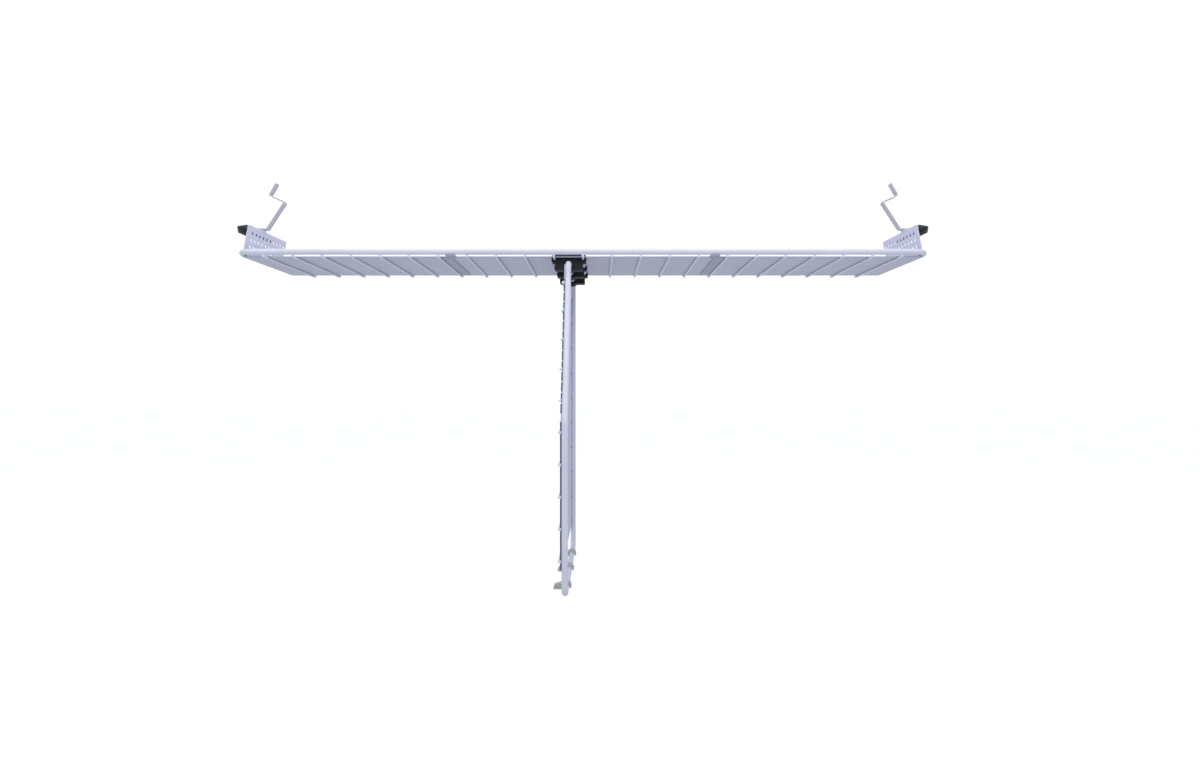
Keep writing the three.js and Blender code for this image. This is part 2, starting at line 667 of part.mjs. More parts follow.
add(group, "rack_tube_left", rackTube(-1), POWDER_COAT);
add(group, "rack_tube_right", rackTube(1), POWDER_COAT);
add(group, "shelf_sheet", rackSheet(), SHEET_COAT);
for (let i = 0; i < RACK_RUNGS; i += 1) {
  const x = (i - (RACK_RUNGS - 1) / 2) * RUNG_PITCH;
  add(group, `rack_rung_${number(i)}`, rackRung(x), POWDER_COAT);
}

for (const [name, side] of SIDES) {
  add(group, `cross_strut_${name}`, crossStrut(side), SHEET_COAT);
  add(group, `wall_bracket_${name}`, wallBracket(side), POWDER_COAT);
  add(group, `end_bracket_${name}`, endBracket(side), BRACKET_COAT);
  add(group, `bracket_foot_${name}`, bracketFoot(side), BRACKET_COAT);
  add(group, `edge_grip_${name}`, edgeGrip(side), GRIP_BLACK);
  add(group, `strap_${name}`, strap(side), BRACKET_COAT);
}

CLIP_YS.forEach((y, i) => {
  add(group, `hinge_cap_${CLIP_NAMES[i]}`, hingeCap(y), BLACK_PLASTIC);
  add(group, `hinge_block_${CLIP_NAMES[i]}`, hingeBlock(y), BLACK_PLASTIC);
});

const wing = new THREE.Group();
group.add(wing);
add(wing, "wing_frame", wingFrame(), POWDER_COAT);
add(wing, "wing_sheet", wingSheet(), SHEET_COAT);
for (let i = 0; i < WING_RUNGS; i += 1) {
  const drop = WING_FIRST_RUNG + i * WING_RUNG_PITCH;
  add(wing, `wing_rung_${number(i)}`, wingRung(drop), POWDER_COAT);
}
CLIP_NAMES.forEach((name, i) => {
  const y = WING_FLARED_Y + HOOK_FRONT_SETBACK + i * HOOK_PITCH;
  add(wing, `wing_hook_${name}`, wingHook(y), HOOK_PLASTIC);
});

export default group;
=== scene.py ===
"""Looks of a wall mounted drying rack with a fold down wing.

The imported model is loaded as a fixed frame, and every piece here is made in metres in that frame:
+X along the rack, +Y into the wall, +Z up, with the origin on the wall at the height of the tubes.
"""

import json
import logging
import math
from dataclasses import dataclass, field
from enum import Enum
from typing import Sequence

import bmesh
import bpy
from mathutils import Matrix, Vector


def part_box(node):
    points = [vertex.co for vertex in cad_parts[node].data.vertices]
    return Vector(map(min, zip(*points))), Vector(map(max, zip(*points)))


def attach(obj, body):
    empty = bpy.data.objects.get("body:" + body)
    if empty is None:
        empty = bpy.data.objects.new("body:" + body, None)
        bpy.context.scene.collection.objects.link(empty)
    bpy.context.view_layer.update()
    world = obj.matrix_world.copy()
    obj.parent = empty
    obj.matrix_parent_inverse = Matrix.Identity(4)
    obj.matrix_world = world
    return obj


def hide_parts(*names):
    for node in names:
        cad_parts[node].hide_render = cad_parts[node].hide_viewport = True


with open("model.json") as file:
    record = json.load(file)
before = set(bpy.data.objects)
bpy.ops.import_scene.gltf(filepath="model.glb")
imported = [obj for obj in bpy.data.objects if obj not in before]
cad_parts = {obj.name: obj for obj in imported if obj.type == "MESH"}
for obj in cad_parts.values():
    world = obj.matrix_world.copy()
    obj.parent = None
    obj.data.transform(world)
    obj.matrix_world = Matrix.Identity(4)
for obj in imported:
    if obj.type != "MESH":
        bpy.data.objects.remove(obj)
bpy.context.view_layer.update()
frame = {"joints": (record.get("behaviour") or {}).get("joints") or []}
LOG = logging.getLogger("drying_rack")

Point2 = tuple[float, float]
Colour = tuple[float, float, float]
MM = 0.001
CREASE = 35.0  # edges that turn by more degrees than this stay sharp


class Body(str, Enum):
    """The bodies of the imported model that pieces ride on."""

    RACK = "rack"
    WING = "wing"


class Side(Enum):
    """An end of the rack, with the sign of its x."""

    LEFT = -1
    RIGHT = 1

    @property
    def label(self) -> str:
        """The word that ends this side's node names."""
        return self.name.lower()


class Clip(Enum):
    """A place along the rack's depth, shared by the clips and the wing's hooks."""

    FRONT = "front"
    MIDDLE = "middle"
    BACK = "back"


class Plane(Enum):
    """The plane that a section is drawn in: its two axes, then the axis it runs along."""

    XZ = ((1, 0, 0), (0, 0, 1), (0, 1, 0))
    YZ = ((0, 1, 0), (0, 0, 1), (1, 0, 0))
    XY = ((1, 0, 0), (0, 1, 0), (0, 0, 1))

    def place(self, a: float, b: float, run: float) -> Vector:
        """Places a point of a section in space.

        Args:
            a: Distance along the plane's first axis.
            b: Distance along its second axis.
            run: Distance along the axis that the section runs along.

        Returns:
            The point.
        """
        first, second, third = (Vector(axis) for axis in self.value)
        return a * first + b * second + run * third


# ---------------------------------------------------------------- finishes


class Graph:
    """A material's node tree while it is being built."""

    def __init__(self, name: str) -> None:
        """Makes an empty material.

        Args:
            name: The material's name.
        """
        self.material = bpy.data.materials.new(name)
        self.material.use_nodes = True
        self.tree = self.material.node_tree
        self.shader = self.tree.nodes["Principled BSDF"]
        self.coords = self.add("ShaderNodeTexCoord").outputs["Object"]

    def add(self, kind: str, **values: object) -> bpy.types.Node:
        """Adds a node.

        Args:
            kind: The node's type name.
            **values: Attributes set on the node.

        Returns:
            The new node.
        """
        node = self.tree.nodes.new(kind)
        for key, value in values.items():
            setattr(node, key, value)
        return node

    def link(self, source: bpy.types.NodeSocket, target: bpy.types.NodeSocket) -> None:
        """Joins two sockets."""
        self.tree.links.new(source, target)

    def noise(self, size: float, detail: float = 2.0,
              stretch: Vector | None = None) -> bpy.types.NodeSocket:
        """Noise whose features are about size metres across.

        Args:
            size: Width of a feature in metres.
            detail: Octaves of finer noise.
            stretch: Scale of the coordinates along each axis, or None for even noise.

        Returns:
            The noise's value socket.
        """
        mapping = self.add("ShaderNodeMapping")
        if stretch is not None:
            mapping.inputs["Scale"].default_value = stretch
        self.link(self.coords, mapping.inputs["Vector"])
        texture = self.add("ShaderNodeTexNoise")
        texture.inputs["Scale"].default_value = 1 / size
        texture.inputs["Detail"].default_value = detail
        self.link(mapping.outputs["Vector"], texture.inputs["Vector"])
        return texture.outputs["Fac"]

    def remap(self, value: bpy.types.NodeSocket, low: float, high: float,
              start: float = 0.3, end: float = 0.7) -> bpy.types.NodeSocket:
        """Stretches start..end of a value to low..high.

        Args:
            value: The socket to remap.
            low: Result at start.
            high: Result at end.
            start: Value that gives low.
            end: Value that gives high.

        Returns:
            The remapped value socket.
        """
        node = self.add("ShaderNodeMapRange")
        node.inputs["From Min"].default_value = start
        node.inputs["From Max"].default_value = end
        node.inputs["To Min"].default_value = low
        node.inputs["To Max"].default_value = high
        self.link(value, node.inputs["Value"])
        return node.outputs["Result"]

    def blend(self, factor: bpy.types.NodeSocket, first: Colour, second: Colour) -> bpy.types.NodeSocket:
        """Mixes two colours.

        Args:
            factor: Share of the second colour.
            first: Colour at a factor of 0.
            second: Colour at a factor of 1.

        Returns:
            The mixed colour socket.
        """
        node = self.add("ShaderNodeMix", data_type="RGBA")
        node.inputs["A"].default_value = (*first, 1)
        node.inputs["B"].default_value = (*second, 1)
        self.link(factor, node.inputs["Factor"])
        return node.outputs["Result"]

    def overlay(self, factor: bpy.types.NodeSocket, base: bpy.types.NodeSocket,
                top: Colour) -> bpy.types.NodeSocket:
        """Lays a colour over another.

        Args:
            factor: How much of the top colour covers the base.
            base: Colour socket below.
            top: Colour above.

        Returns:
            The covered colour socket.
        """
        node = self.add("ShaderNodeMix", data_type="RGBA")
        self.link(base, node.inputs["A"])
        node.inputs["B"].default_value = (*top, 1)
        self.link(factor, node.inputs["Factor"])
        return node.outputs["Result"]

    def relief(self, height: bpy.types.NodeSocket, depth: float,
               under: bpy.types.NodeSocket | None = None) -> bpy.types.NodeSocket:
        """Bump from a height socket.

        Args:
            height: Height, 0 to 1.
            depth: Depth of the relief in metres.
            under: Normal of a coarser relief below this one.

        Returns:
            The bumped normal socket.
        """
        node = self.add("ShaderNodeBump")
        node.inputs["Distance"].default_value = depth
        self.link(height, node.inputs["Height"])
        if under is not None:
            self.link(under, node.inputs["Normal"])
        return node.outputs["Normal"]

    def wire(self, colour: bpy.types.NodeSocket, roughness: bpy.types.NodeSocket,
             normal: bpy.types.NodeSocket) -> None:
        """Joins the finish to the shader.

        Args:
            colour: Base colour socket.
            roughness: Roughness socket.
            normal: Bumped normal socket.
        """
        self.link(colour, self.shader.inputs["Base Color"])
        self.link(roughness, self.shader.inputs["Roughness"])
        self.link(normal, self.shader.inputs["Normal"])


def shade(colour: Colour, share: float) -> Colour:
    """A colour made lighter or darker by a share."""
    return tuple(min(1.0, channel * share) for channel in colour)


@dataclass(frozen=True)
class PowderCoat:
    """Satin powder coat on steel: fine orange peel, a slow drift of tone and a trace of grime.

    Attributes:
        name: Name of the material.
        slot: The record's material slot; not used.
        colour: Base colour.
        roughness: Middle roughness.
        peel_size: Width of one orange peel bump in metres.
        peel_depth: Depth of the peel in metres.
        drift: Share by which the tone wanders.
        drift_size: Width of a patch of one tone.
        grime: Colour of the thin grime in low spots.
        grime_share: Most that grime covers.
        grime_size: Width of a spot of grime.
        gloss_size: Width of a patch of one roughness.
        gloss_swing: How far the roughness falls and rises from its middle.
        wave_size: Width of the slow waves under the peel.
        wave_share: Depth of the waves, as a share of the peel's.
        specular: Specular level.
    """

    name: str
    slot: str
    colour: Colour
    roughness: float = 0.42
    peel_size: float = 1.4 * MM
    peel_depth: float = 0.02 * MM
    drift: float = 0.035
    drift_size: float = 90 * MM
    grime: Colour = (0.42, 0.42, 0.44)
    grime_share: float = 0.10
    grime_size: float = 7 * MM
    gloss_size: float = 25 * MM
    gloss_swing: tuple[float, float] = (0.06, 0.08)
    wave_size: float = 14 * MM
    wave_share: float = 3.0
    specular: float = 0.45

    def build(self) -> bpy.types.Material:
        """Makes the material."""
        graph = Graph(self.name)
        tone = graph.blend(graph.remap(graph.noise(self.drift_size, 3), 0, 1),
                           shade(self.colour, 1 - self.drift), shade(self.colour, 1 + self.drift))
        specks = graph.remap(graph.noise(self.grime_size, 6), 0, self.grime_share, 0.56, 0.74)
        colour = graph.overlay(specks, tone, self.grime)
        fall, rise = self.gloss_swing
        rough = graph.remap(graph.noise(self.gloss_size, 4), self.roughness - fall, self.roughness + rise)
        waves = graph.relief(graph.noise(self.wave_size, 1), self.wave_share * self.peel_depth)
        peel = graph.relief(graph.noise(self.peel_size, 2), self.peel_depth, waves)
        graph.wire(colour, rough, peel)
        graph.shader.inputs["Specular IOR Level"].default_value = self.specular
        return graph.material


@dataclass(frozen=True)
class MouldedPlastic:
    """Matt moulded plastic with a fine spark-eroded grain and handling marks.

    Attributes:
        name: Name of the material.
        slot: The record's material slot; not used.
        colour: Base colour.
        rubbed: Colour of the lighter rubbed spots.
        rubbed_size: Width of a rubbed spot.
        rubbed_share: Most that rubbing covers.
        tone_size: Width of a patch of one tone.
        tone_swing: Share by which the tone wanders.
        gloss_size: Width of a patch of one roughness.
        gloss_swing: How far the roughness falls and rises from its middle.
        roughness: Middle roughness.
        grain_size: Width of one grain in metres.
        grain_depth: Depth of the grain in metres.
        specular: Specular level.
    """

    name: str
    slot: str
    colour: Colour
    rubbed: Colour
    roughness: float = 0.55
    grain_size: float = 0.5 * MM
    grain_depth: float = 0.02 * MM
    specular: float = 0.5
    rubbed_size: float = 5 * MM
    rubbed_share: float = 0.35
    tone_size: float = 30 * MM
    tone_swing: float = 0.12
    gloss_size: float = 9 * MM
    gloss_swing: tuple[float, float] = (0.08, 0.1)

    def build(self) -> bpy.types.Material:
        """Makes the material."""
        graph = Graph(self.name)
        swing = self.tone_swing
        base = graph.blend(graph.remap(graph.noise(self.tone_size, 3), 0, 1),
                           shade(self.colour, 1 - swing), shade(self.colour, 1 + swing))
        spots = graph.noise(self.rubbed_size, 5, Vector((1, 3, 1)))
        rubs = graph.remap(spots, 0, self.rubbed_share, 0.55, 0.75)
        colour = graph.overlay(rubs, base, self.rubbed)
        fall, rise = self.gloss_swing
        rough = graph.remap(graph.noise(self.gloss_size, 3), self.roughness - fall, self.roughness + rise)
        grain = graph.relief(graph.noise(self.grain_size, 3), self.grain_depth)
        graph.wire(colour, rough, grain)
        graph.shader.inputs["Specular IOR Level"].default_value = self.specular
        return graph.material


@dataclass(frozen=True)
class ZincPlate:
    """Bright zinc plate on steel with a brushed tone and dull patches.

    Attributes:
        name: Name of the material.
        slot: The record's material slot; not used.
        colour: Base colour.
        dull: Colour of the dull patches.
        roughness: Middle roughness.
        patch_size: Width of a dull patch.
        gloss_size: Width of a patch of one roughness.
        gloss_swing: How far the roughness falls and rises from its middle.
        brush_size: Width of a brush line.
        brush_depth: Depth of a brush line.
    """

    name: str
    slot: str
    colour: Colour
    dull: Colour
    roughness: float = 0.32
    patch_size: float = 3 * MM
    gloss_size: float = 2 * MM
    gloss_swing: tuple[float, float] = (0.08, 0.15)
    brush_size: float = 0.4 * MM
    brush_depth: float = 0.008 * MM

    def build(self) -> bpy.types.Material:
        """Makes the material."""
        graph = Graph(self.name)
        colour = graph.blend(graph.remap(graph.noise(self.patch_size, 4), 0, 1), self.colour, self.dull)
        fall, rise = self.gloss_swing
        rough = graph.remap(graph.noise(self.gloss_size, 3), self.roughness - fall, self.roughness + rise)
        brushed = graph.relief(graph.noise(self.brush_size, 2, Vector((1, 8, 1))), self.brush_depth)
        graph.wire(colour, rough, brushed)
        graph.shader.inputs["Metallic"].default_value = 1.0
        return graph.material


Finish = PowderCoat | MouldedPlastic | ZincPlate

TUBE_COAT = PowderCoat("tube_powder_coat", "tube_coat", (0.74, 0.76, 0.90), 0.38)
# painted light: the rungs' powder coat, made lighter than the tube's in place of a fill light from below
LIT_WIRE_COAT = PowderCoat("wire_coat_painted_light", "wire_coat", (0.82, 0.84, 0.96), 0.40, peel_size=0.9 * MM)
SHEET_COAT = PowderCoat("sheet_powder_coat", "sheet_coat", (0.62, 0.645, 0.775), 0.52, drift=0.03)
# painted shade: darker than the sheet's coat, standing for the shadow band under the sheet where the strut
# runs
SHADED_STRUT_COAT = PowderCoat("strut_powder_coat", "sheet_coat", (0.45, 0.47, 0.565), 0.52, drift=0.03)
STRAP_COAT = PowderCoat("strap_powder_coat", "bracket_coat", (0.60, 0.60, 0.67), 0.45)
BRACKET_COAT = PowderCoat("bracket_powder_coat", "bracket_coat", (0.72, 0.73, 0.87), 0.42)
CLIP_PLASTIC = MouldedPlastic("clip_plastic", "black_plastic", (0.010, 0.011, 0.014), (0.03, 0.03, 0.03),
                              specular=0.25)
GRIP_COAT = PowderCoat("grip_black_coat", "grip_black", (0.125, 0.137, 0.134), 0.5,
                       grime=(0.20, 0.21, 0.20), grime_share=0.18, drift=0.12)
# painted shade: a dark strip that stands for the shade in the crevice between the wing's front tube and its
# sheet
CREVICE_SHADE_COAT = PowderCoat("painted_crevice_shade", "sheet_coat", (0.10, 0.105, 0.19), 0.55, drift=0.05)
# dark paint for the small dots on the wing's back tube, one level with each rung
DARK_DOT_COAT = PowderCoat("dark_dot_paint", "tube_coat", (0.16, 0.165, 0.25), 0.6, drift=0.1)
HOOK_PLASTIC = MouldedPlastic("hook_plastic", "hook_plastic", (0.46, 0.50, 0.44), (0.62, 0.65, 0.58), 0.5)
ZINC = ZincPlate("zinc_plate", "zinc_steel", (0.70, 0.72, 0.75), (0.50, 0.51, 0.53))


class Palette:
    """The materials that were built, one for each finish."""

    def __init__(self) -> None:
        """Starts with no materials."""
        self._made: dict[str, bpy.types.Material] = {}

    def of(self, finish: Finish) -> bpy.types.Material:
        """The material of a finish, built at its first use."""
        if finish.name not in self._made:
            self._made[finish.name] = finish.build()
        return self._made[finish.name]


PALETTE = Palette()


# ---------------------------------------------------------------- shape tools


def ring(radius: float, sides: int, centre: Point2 = (0.0, 0.0)) -> list[Point2]:
    """A closed round outline.

    Args:
        radius: Its radius.
        sides: Number of its points.
        centre: Its middle.

    Returns:
        The outline's points.
    """
    turns = (2 * math.pi * i / sides for i in range(sides))
    return [(centre[0] + radius * math.cos(a), centre[1] + radius * math.sin(a)) for a in turns]


def arc(centre: Point2, radius: float, start: float, end: float, steps: int) -> list[Point2]:
    """Points on an arc, both ends included.

    Args:
        centre: Middle of the arc's circle.
        radius: Radius of the arc.
        start: Angle of the first point, in degrees.
        end: Angle of the last point, in degrees.
        steps: Number of chords.

    Returns:
        The arc's points.
    """
    turns = (math.radians(start + (end - start) * i / steps) for i in range(steps + 1))
    return [(centre[0] + radius * math.cos(a), centre[1] + radius * math.sin(a)) for a in turns]


class Route:
    """A flat path of straight runs joined by round bends."""

    def __init__(self, corners: Sequence[Point2], radii: Sequence[float], closed: bool = False,
                 step: float = math.radians(9)) -> None:
        """Works out the path's stations.

        Args:
            corners: Corners in order. An open path starts and ends on its outer two.
            radii: Bend radius at each corner that is turned at.
            closed: Whether the last corner runs on to the first.
            step: Most that the path turns between two stations, in radians.
        """
        self.closed = closed
        self.stations: list[tuple[Vector, Vector]] = []
        points = [Vector(c) for c in corners]
        turned = list(range(len(points))) if closed else list(range(1, len(points) - 1))
        if not closed:
            self.stations.append((points[0], (points[1] - points[0]).normalized()))
        for index, radius in zip(turned, radii):
            self._bend(points[index - 1], points[index], points[(index + 1) % len(points)], radius, step)
        if not closed:
            self.stations.append((points[-1], (points[-1] - points[-2]).normalized()))

    def _bend(self, before: Vector, corner: Vector, after: Vector, radius: float,
              step: float) -> None:
        """Adds the stations of one bend.

        Args:
            before: Corner that the path comes from.
            corner: Corner that it bends at.
            after: Corner that it goes to.
            radius: Bend radius, or 0 for a sharp corner.
            step: Most that the path turns between two stations, in radians.
        """
        into, out = (corner - before).normalized(), (after - corner).normalized()
        turn = into.angle(out)
        if radius <= 0 or turn < 1e-6:
            self.stations.append((corner, (into + out).normalized()))
            return
        left = 1 if into.x * out.y - into.y * out.x > 0 else -1
        inward = Vector((-into.y, into.x)) * left
        start = corner - into * radius * math.tan(turn / 2)
        centre = start + inward * radius
        steps = max(1, math.ceil(turn / step))
        for k in range(steps + 1):
            a = turn * k / steps
            at = centre - inward * radius * math.cos(a) + into * radius * math.sin(a)
            self.stations.append((at, (into * math.cos(a) + inward * math.sin(a)).normalized()))

    def outline(self) -> list[Point2]:
        """The stations as an outline."""
        return [(p.x, p.y) for p, _ in self.stations]

    def lengths(self) -> list[float]:
        """How far along the path each station is.

        Returns:
            One distance for each station, the first one 0.
        """
        found = [0.0]
        for (a, _), (b, _) in zip(self.stations, self.stations[1:]):
            found.append(found[-1] + (b - a).length)
        return found

    def locate(self, distance: float) -> tuple[Vector, Vector]:
        """Finds a place on the path, which runs straight on past either end.

        Args:
            distance: Distance along the path.

        Returns:
            The point and the heading there.
        """
        lengths = self.lengths()
        for i, (low, high) in enumerate(zip(lengths, lengths[1:])):
            if distance <= high or i == len(lengths) - 2:
                break
        (a, heading_a), (b, heading_b) = self.stations[i], self.stations[i + 1]
        share = (distance - low) / (high - low)
        blended = heading_a.lerp(heading_b, min(max(share, 0), 1)).normalized()
        return a.lerp(b, share), blended


def rounded(corners: Sequence[Point2], radii: float | Sequence[float]) -> list[Point2]:
    """Rounds the corners of a closed outline.

    Args:
        corners: The outline's corners.
        radii: One radius for all corners, or one for each.

    Returns:
        The rounded outline.
    """
    sizes = [radii] * len(corners) if isinstance(radii, (int, float)) else radii
    return Route(corners, sizes, closed=True, step=math.radians(15)).outline()


def tidy(mesh: bmesh.types.BMesh) -> None:
    """Welds doubled points and turns every face outwards.

    Args:
        mesh: The mesh to clean.
    """
    bmesh.ops.remove_doubles(mesh, verts=mesh.verts, dist=0.004 * MM)
    bmesh.ops.dissolve_degenerate(mesh, edges=mesh.edges, dist=0.002 * MM)
    bmesh.ops.recalc_face_normals(mesh, faces=mesh.faces)


def plate(outline: Sequence[Point2], holes: Sequence[Sequence[Point2]], thickness: float,
          bevel: float) -> bmesh.types.BMesh:
    """A flat plate with bevelled edges, centred on its own plane.

    Args:
        outline: Outer edge.
        holes: Edges of the holes.
        thickness: Full thickness.
        bevel: Width of the bevel on every edge.

    Returns:
        The plate's mesh.
    """
    curve = bpy.data.curves.new("plate_outline", "CURVE")
    curve.dimensions = "2D"
    curve.fill_mode = "BOTH"
    curve.extrude = thickness / 2 - bevel
    curve.bevel_depth = bevel
    curve.bevel_resolution = 2
    curve.offset = -bevel
    for loop in (outline, *holes):
        spline = curve.splines.new("POLY")
        spline.points.add(len(loop) - 1)
        for control, (a, b) in zip(spline.points, loop):
            control.co = (a, b, 0, 1)
        spline.use_cyclic_u = True
    holder = bpy.data.objects.new("plate_outline", curve)
    bpy.context.scene.collection.objects.link(holder)
    bpy.context.view_layer.update()
    made = bpy.data.meshes.new_from_object(holder.evaluated_get(bpy.context.evaluated_depsgraph_get()))
    mesh = bmesh.new()
    mesh.from_mesh(made)
    bpy.data.objects.remove(holder)
    bpy.data.curves.remove(curve)
    bpy.data.meshes.remove(made)
    tidy(mesh)
    return mesh


def prism(outline: Sequence[Point2], holes: Sequence[Sequence[Point2]], plane: Plane, start: float,
          end: float, bevel: float) -> bmesh.types.BMesh:
    """A section drawn in a plane and run along the plane's third axis, with bevelled ends.

    Args:
        outline: Outer edge of the section.
        holes: Edges of its holes.
        plane: The plane that it is drawn in.
        start: Where it starts on the third axis.
        end: Where it ends.
        bevel: Width of the bevel at both ends.

    Returns:
        The prism's mesh.
    """
    mesh = plate(outline, holes, end - start, bevel)
    for vert in mesh.verts:
        a, b, run = vert.co
        vert.co = plane.place(a, b, run + (start + end) / 2)
    bmesh.ops.recalc_face_normals(mesh, faces=mesh.faces)
    return mesh


def folded(route: Route, blank: bmesh.types.BMesh, plane: Plane) -> bmesh.types.BMesh:
    """Bends a flat blank along a route, as a press brake would.

    Args:
        route: Middle line of the folded section.
        blank: Flat plate, its x along the route and its y along the plane's third axis.
        plane: The plane that the route is drawn in.

    Returns:
        The folded mesh.
    """
    for distance in route.lengths()[1:-1]:
        everything = list(blank.verts) + list(blank.edges) + list(blank.faces)
        bmesh.ops.bisect_plane(blank, geom=everything, plane_co=(distance, 0, 0), plane_no=(1, 0, 0))
    for vert in blank.verts:
        at, heading = route.locate(vert.co.x)
        offset = at + Vector((-heading.y, heading.x)) * vert.co.z
        vert.co = plane.place(offset.x, offset.y, vert.co.y)
    tidy(blank)
    return blank


def swept(stations: Sequence[tuple[Vector, Vector]], normal: Vector, radii: Sequence[float],
          sides: int, closed: bool) -> bmesh.types.BMesh:
    """A round section carried along stations that lie in one plane.

    Args:
        stations: Point and heading of each section.
        normal: Normal of the plane that the stations lie in.
        radii: Radius of each section.
        sides: Sides of a section.
        closed: Whether the last section joins the first.

    Returns:
        The swept mesh, its open ends capped.
    """
    mesh = bmesh.new()
    sections = []
    for (at, heading), radius in zip(stations, radii):
        across = heading.cross(normal).normalized()
        sections.append([mesh.verts.new(at + normal * a + across * b) for a, b in ring(radius, sides)])
    pairs = list(zip(sections, sections[1:]))
    if closed:
        pairs.append((sections[-1], sections[0]))
    for first, second in pairs:
        for k in range(sides):
            n = (k + 1) % sides
            mesh.faces.new((first[k], first[n], second[n], second[k]))
    if not closed:
        mesh.faces.new(sections[0])
        mesh.faces.new(sections[-1])
    bmesh.ops.recalc_face_normals(mesh, faces=mesh.faces)
    return mesh


def lathe(profile: Sequence[Point2], centre: Vector, sides: int) -> bmesh.types.BMesh:
    """Turns a profile about a vertical axis.

    Args:
        profile: Points of (radius, height), its first and last on the axis.
        centre: Where the axis passes through height 0.
        sides: Sides of the turned section.

    Returns:
        The turned mesh.
    """
    mesh = bmesh.new()
    rows = []
    for radius, height in profile:
        base = centre + Vector((0, 0, height))
        if radius == 0:
            rows.append([mesh.verts.new(base)])
        else:
            rows.append([mesh.verts.new(base + Vector((a, b, 0))) for a, b in ring(radius, sides)])
    for low, high in zip(rows, rows[1:]):
        for k in range(sides):
            n = (k + 1) % sides
            corners = [low[k % len(low)], low[n % len(low)], high[n % len(high)], high[k % len(high)]]
            mesh.faces.new(tuple(dict.fromkeys(corners)))
    bmesh.ops.recalc_face_normals(mesh, faces=mesh.faces)
    return mesh


def merge(parts: Sequence[bmesh.types.BMesh]) -> bmesh.types.BMesh:
    """Puts several meshes in one.

    Args:
        parts: The meshes, which are freed.

    Returns:
        The joined mesh.
    """
    whole = bmesh.new()
    for part in parts:
        holder = bpy.data.meshes.new("part")
        part.to_mesh(holder)
        whole.from_mesh(holder)
        bpy.data.meshes.remove(holder)
        part.free()
    return whole


def settle(name: str, mesh: bmesh.types.BMesh, finish: Finish, body: str,
           nodes: Sequence[str] = ()) -> bpy.types.Object:
    """Turns a mesh into a finished piece that rides on a body.

    Args:
        name: Name of the piece.
        mesh: Its mesh, which is freed.
        finish: Its finish.
        body: The body that it rides on.
        nodes: CAD nodes that it stands for.

    Returns:
        The piece.
    """
    data = bpy.data.meshes.new(name)
    mesh.to_mesh(data)
    mesh.free()
    data.shade_smooth()
    data.set_sharp_from_angle(angle=math.radians(CREASE))
    piece = bpy.data.objects.new(name, data)
    bpy.context.scene.collection.objects.link(piece)
    data.materials.append(PALETTE.of(finish))
    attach(piece, body)
    if nodes:
        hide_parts(*nodes)
    LOG.info("%s rides on %s, %d faces", name, body, len(data.polygons))
    return piece


def carve(piece: bpy.types.Object, cutter: bmesh.types.BMesh) -> None:
    """Cuts a mesh out of a piece for good.

    Args:
        piece: The piece to cut.
        cutter: The cutting mesh, which is freed.
    """
    data = bpy.data.meshes.new("cutter")
    cutter.to_mesh(data)
    cutter.free()
    tool = bpy.data.objects.new("cutter", data)
    bpy.context.scene.collection.objects.link(tool)
    modifier = piece.modifiers.new("cut", "BOOLEAN")
    modifier.operation = "DIFFERENCE"
    modifier.solver = "EXACT"
    modifier.object = tool
    bpy.context.view_layer.update()
    graph = bpy.context.evaluated_depsgraph_get()
    made = bpy.data.meshes.new_from_object(piece.evaluated_get(graph))
    piece.modifiers.clear()
    piece.data = made
    made.shade_smooth()
    made.set_sharp_from_angle(angle=math.radians(CREASE))
    bpy.data.objects.remove(tool)


def middle(node: str) -> Vector:
    """The middle of a CAD node's box."""
    low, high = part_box(node)
    return (low + high) / 2


# ---------------------------------------------------------------- the rack


@dataclass
class Stock:
    """Steel stock that both frames are made of.

    Attributes:
        tube: Outer radius of the bent tube.
        tube_sides: Sides of a tube's section.
        wire: Radius of the rungs.
        wire_sides: Sides of a rung's section.
        sheet: Thickness of the sheets; not used.
        gap: Clearance between pieces that touch in the CAD model.
        cad_sides: Sides of the tube's section in the CAD model.
        cut_end: Chamfer at a wire's cut end, as a share of its radius.
    """

    tube: float = 5 * MM
    tube_sides: int = 32
    wire: float = 2 * MM
    wire_sides: int = 16
    sheet: float = 1.2 * MM
    gap: float = 0.3 * MM
    cad_sides: int = 12
    cut_end: float = 0.35

    def tube_middle(self, *nodes: str) -> tuple[Vector, Vector]:
        """The box of a bent tube's centre line.

        Args:
            *nodes: CAD nodes that the tube is made of.

        Returns:
            The box's low and high corners.
        """
        boxes = [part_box(node) for node in nodes]
        low = Vector(min(column) for column in zip(*(low for low, _ in boxes)))
        high = Vector(max(column) for column in zip(*(high for _, high in boxes)))
        reach = Vector((1, 1, 1)) * self.tube * math.cos(math.pi / self.cad_sides)
        return low + reach, high - reach

    def rack_middle(self) -> tuple[Vector, Vector]:
        """The box of the rack tube's centre line."""
        return self.tube_middle("rack_tube_left", "rack_tube_right")


STOCK = Stock()


@dataclass
class Seam:
    """The fine groove where a bent tube's two ends meet.

    Attributes:
        width: Width of the groove.
        depth: Depth of the groove.
    """

    width: float = 0.6 * MM
    depth: float = 0.3 * MM

    def cut(self, stations: list[tuple[Vector, Vector]], at: Vector) -> tuple[list, list[float]]:
        """Adds the groove's sections to the straight run that passes a point.

        Args:
            stations: Sections of a closed tube.
            at: The groove's middle, on the centre line.

        Returns:
            The stations with the groove, and the radius at each.
        """
        count = len(stations)
        for i in range(count):
            (a, _), (b, _) = stations[i], stations[(i + 1) % count]
            run = b - a
            share = (at - a).dot(run) / run.length_squared
            if 0 < share < 1 and (a + run * share - at).length < STOCK.tube:
                break
        heading = run.normalized()
        steps = [(-self.width, 0.0), (-self.width / 2, self.depth), (self.width / 2, self.depth),
                 (self.width, 0.0)]
        groove = [(at + heading * shift, heading) for shift, _ in steps]
        radii = [STOCK.tube] * (i + 1) + [STOCK.tube - deep for _, deep in steps]
        radii += [STOCK.tube] * (count - i - 1)
        return stations[:i + 1] + groove + stations[i + 1:], radii


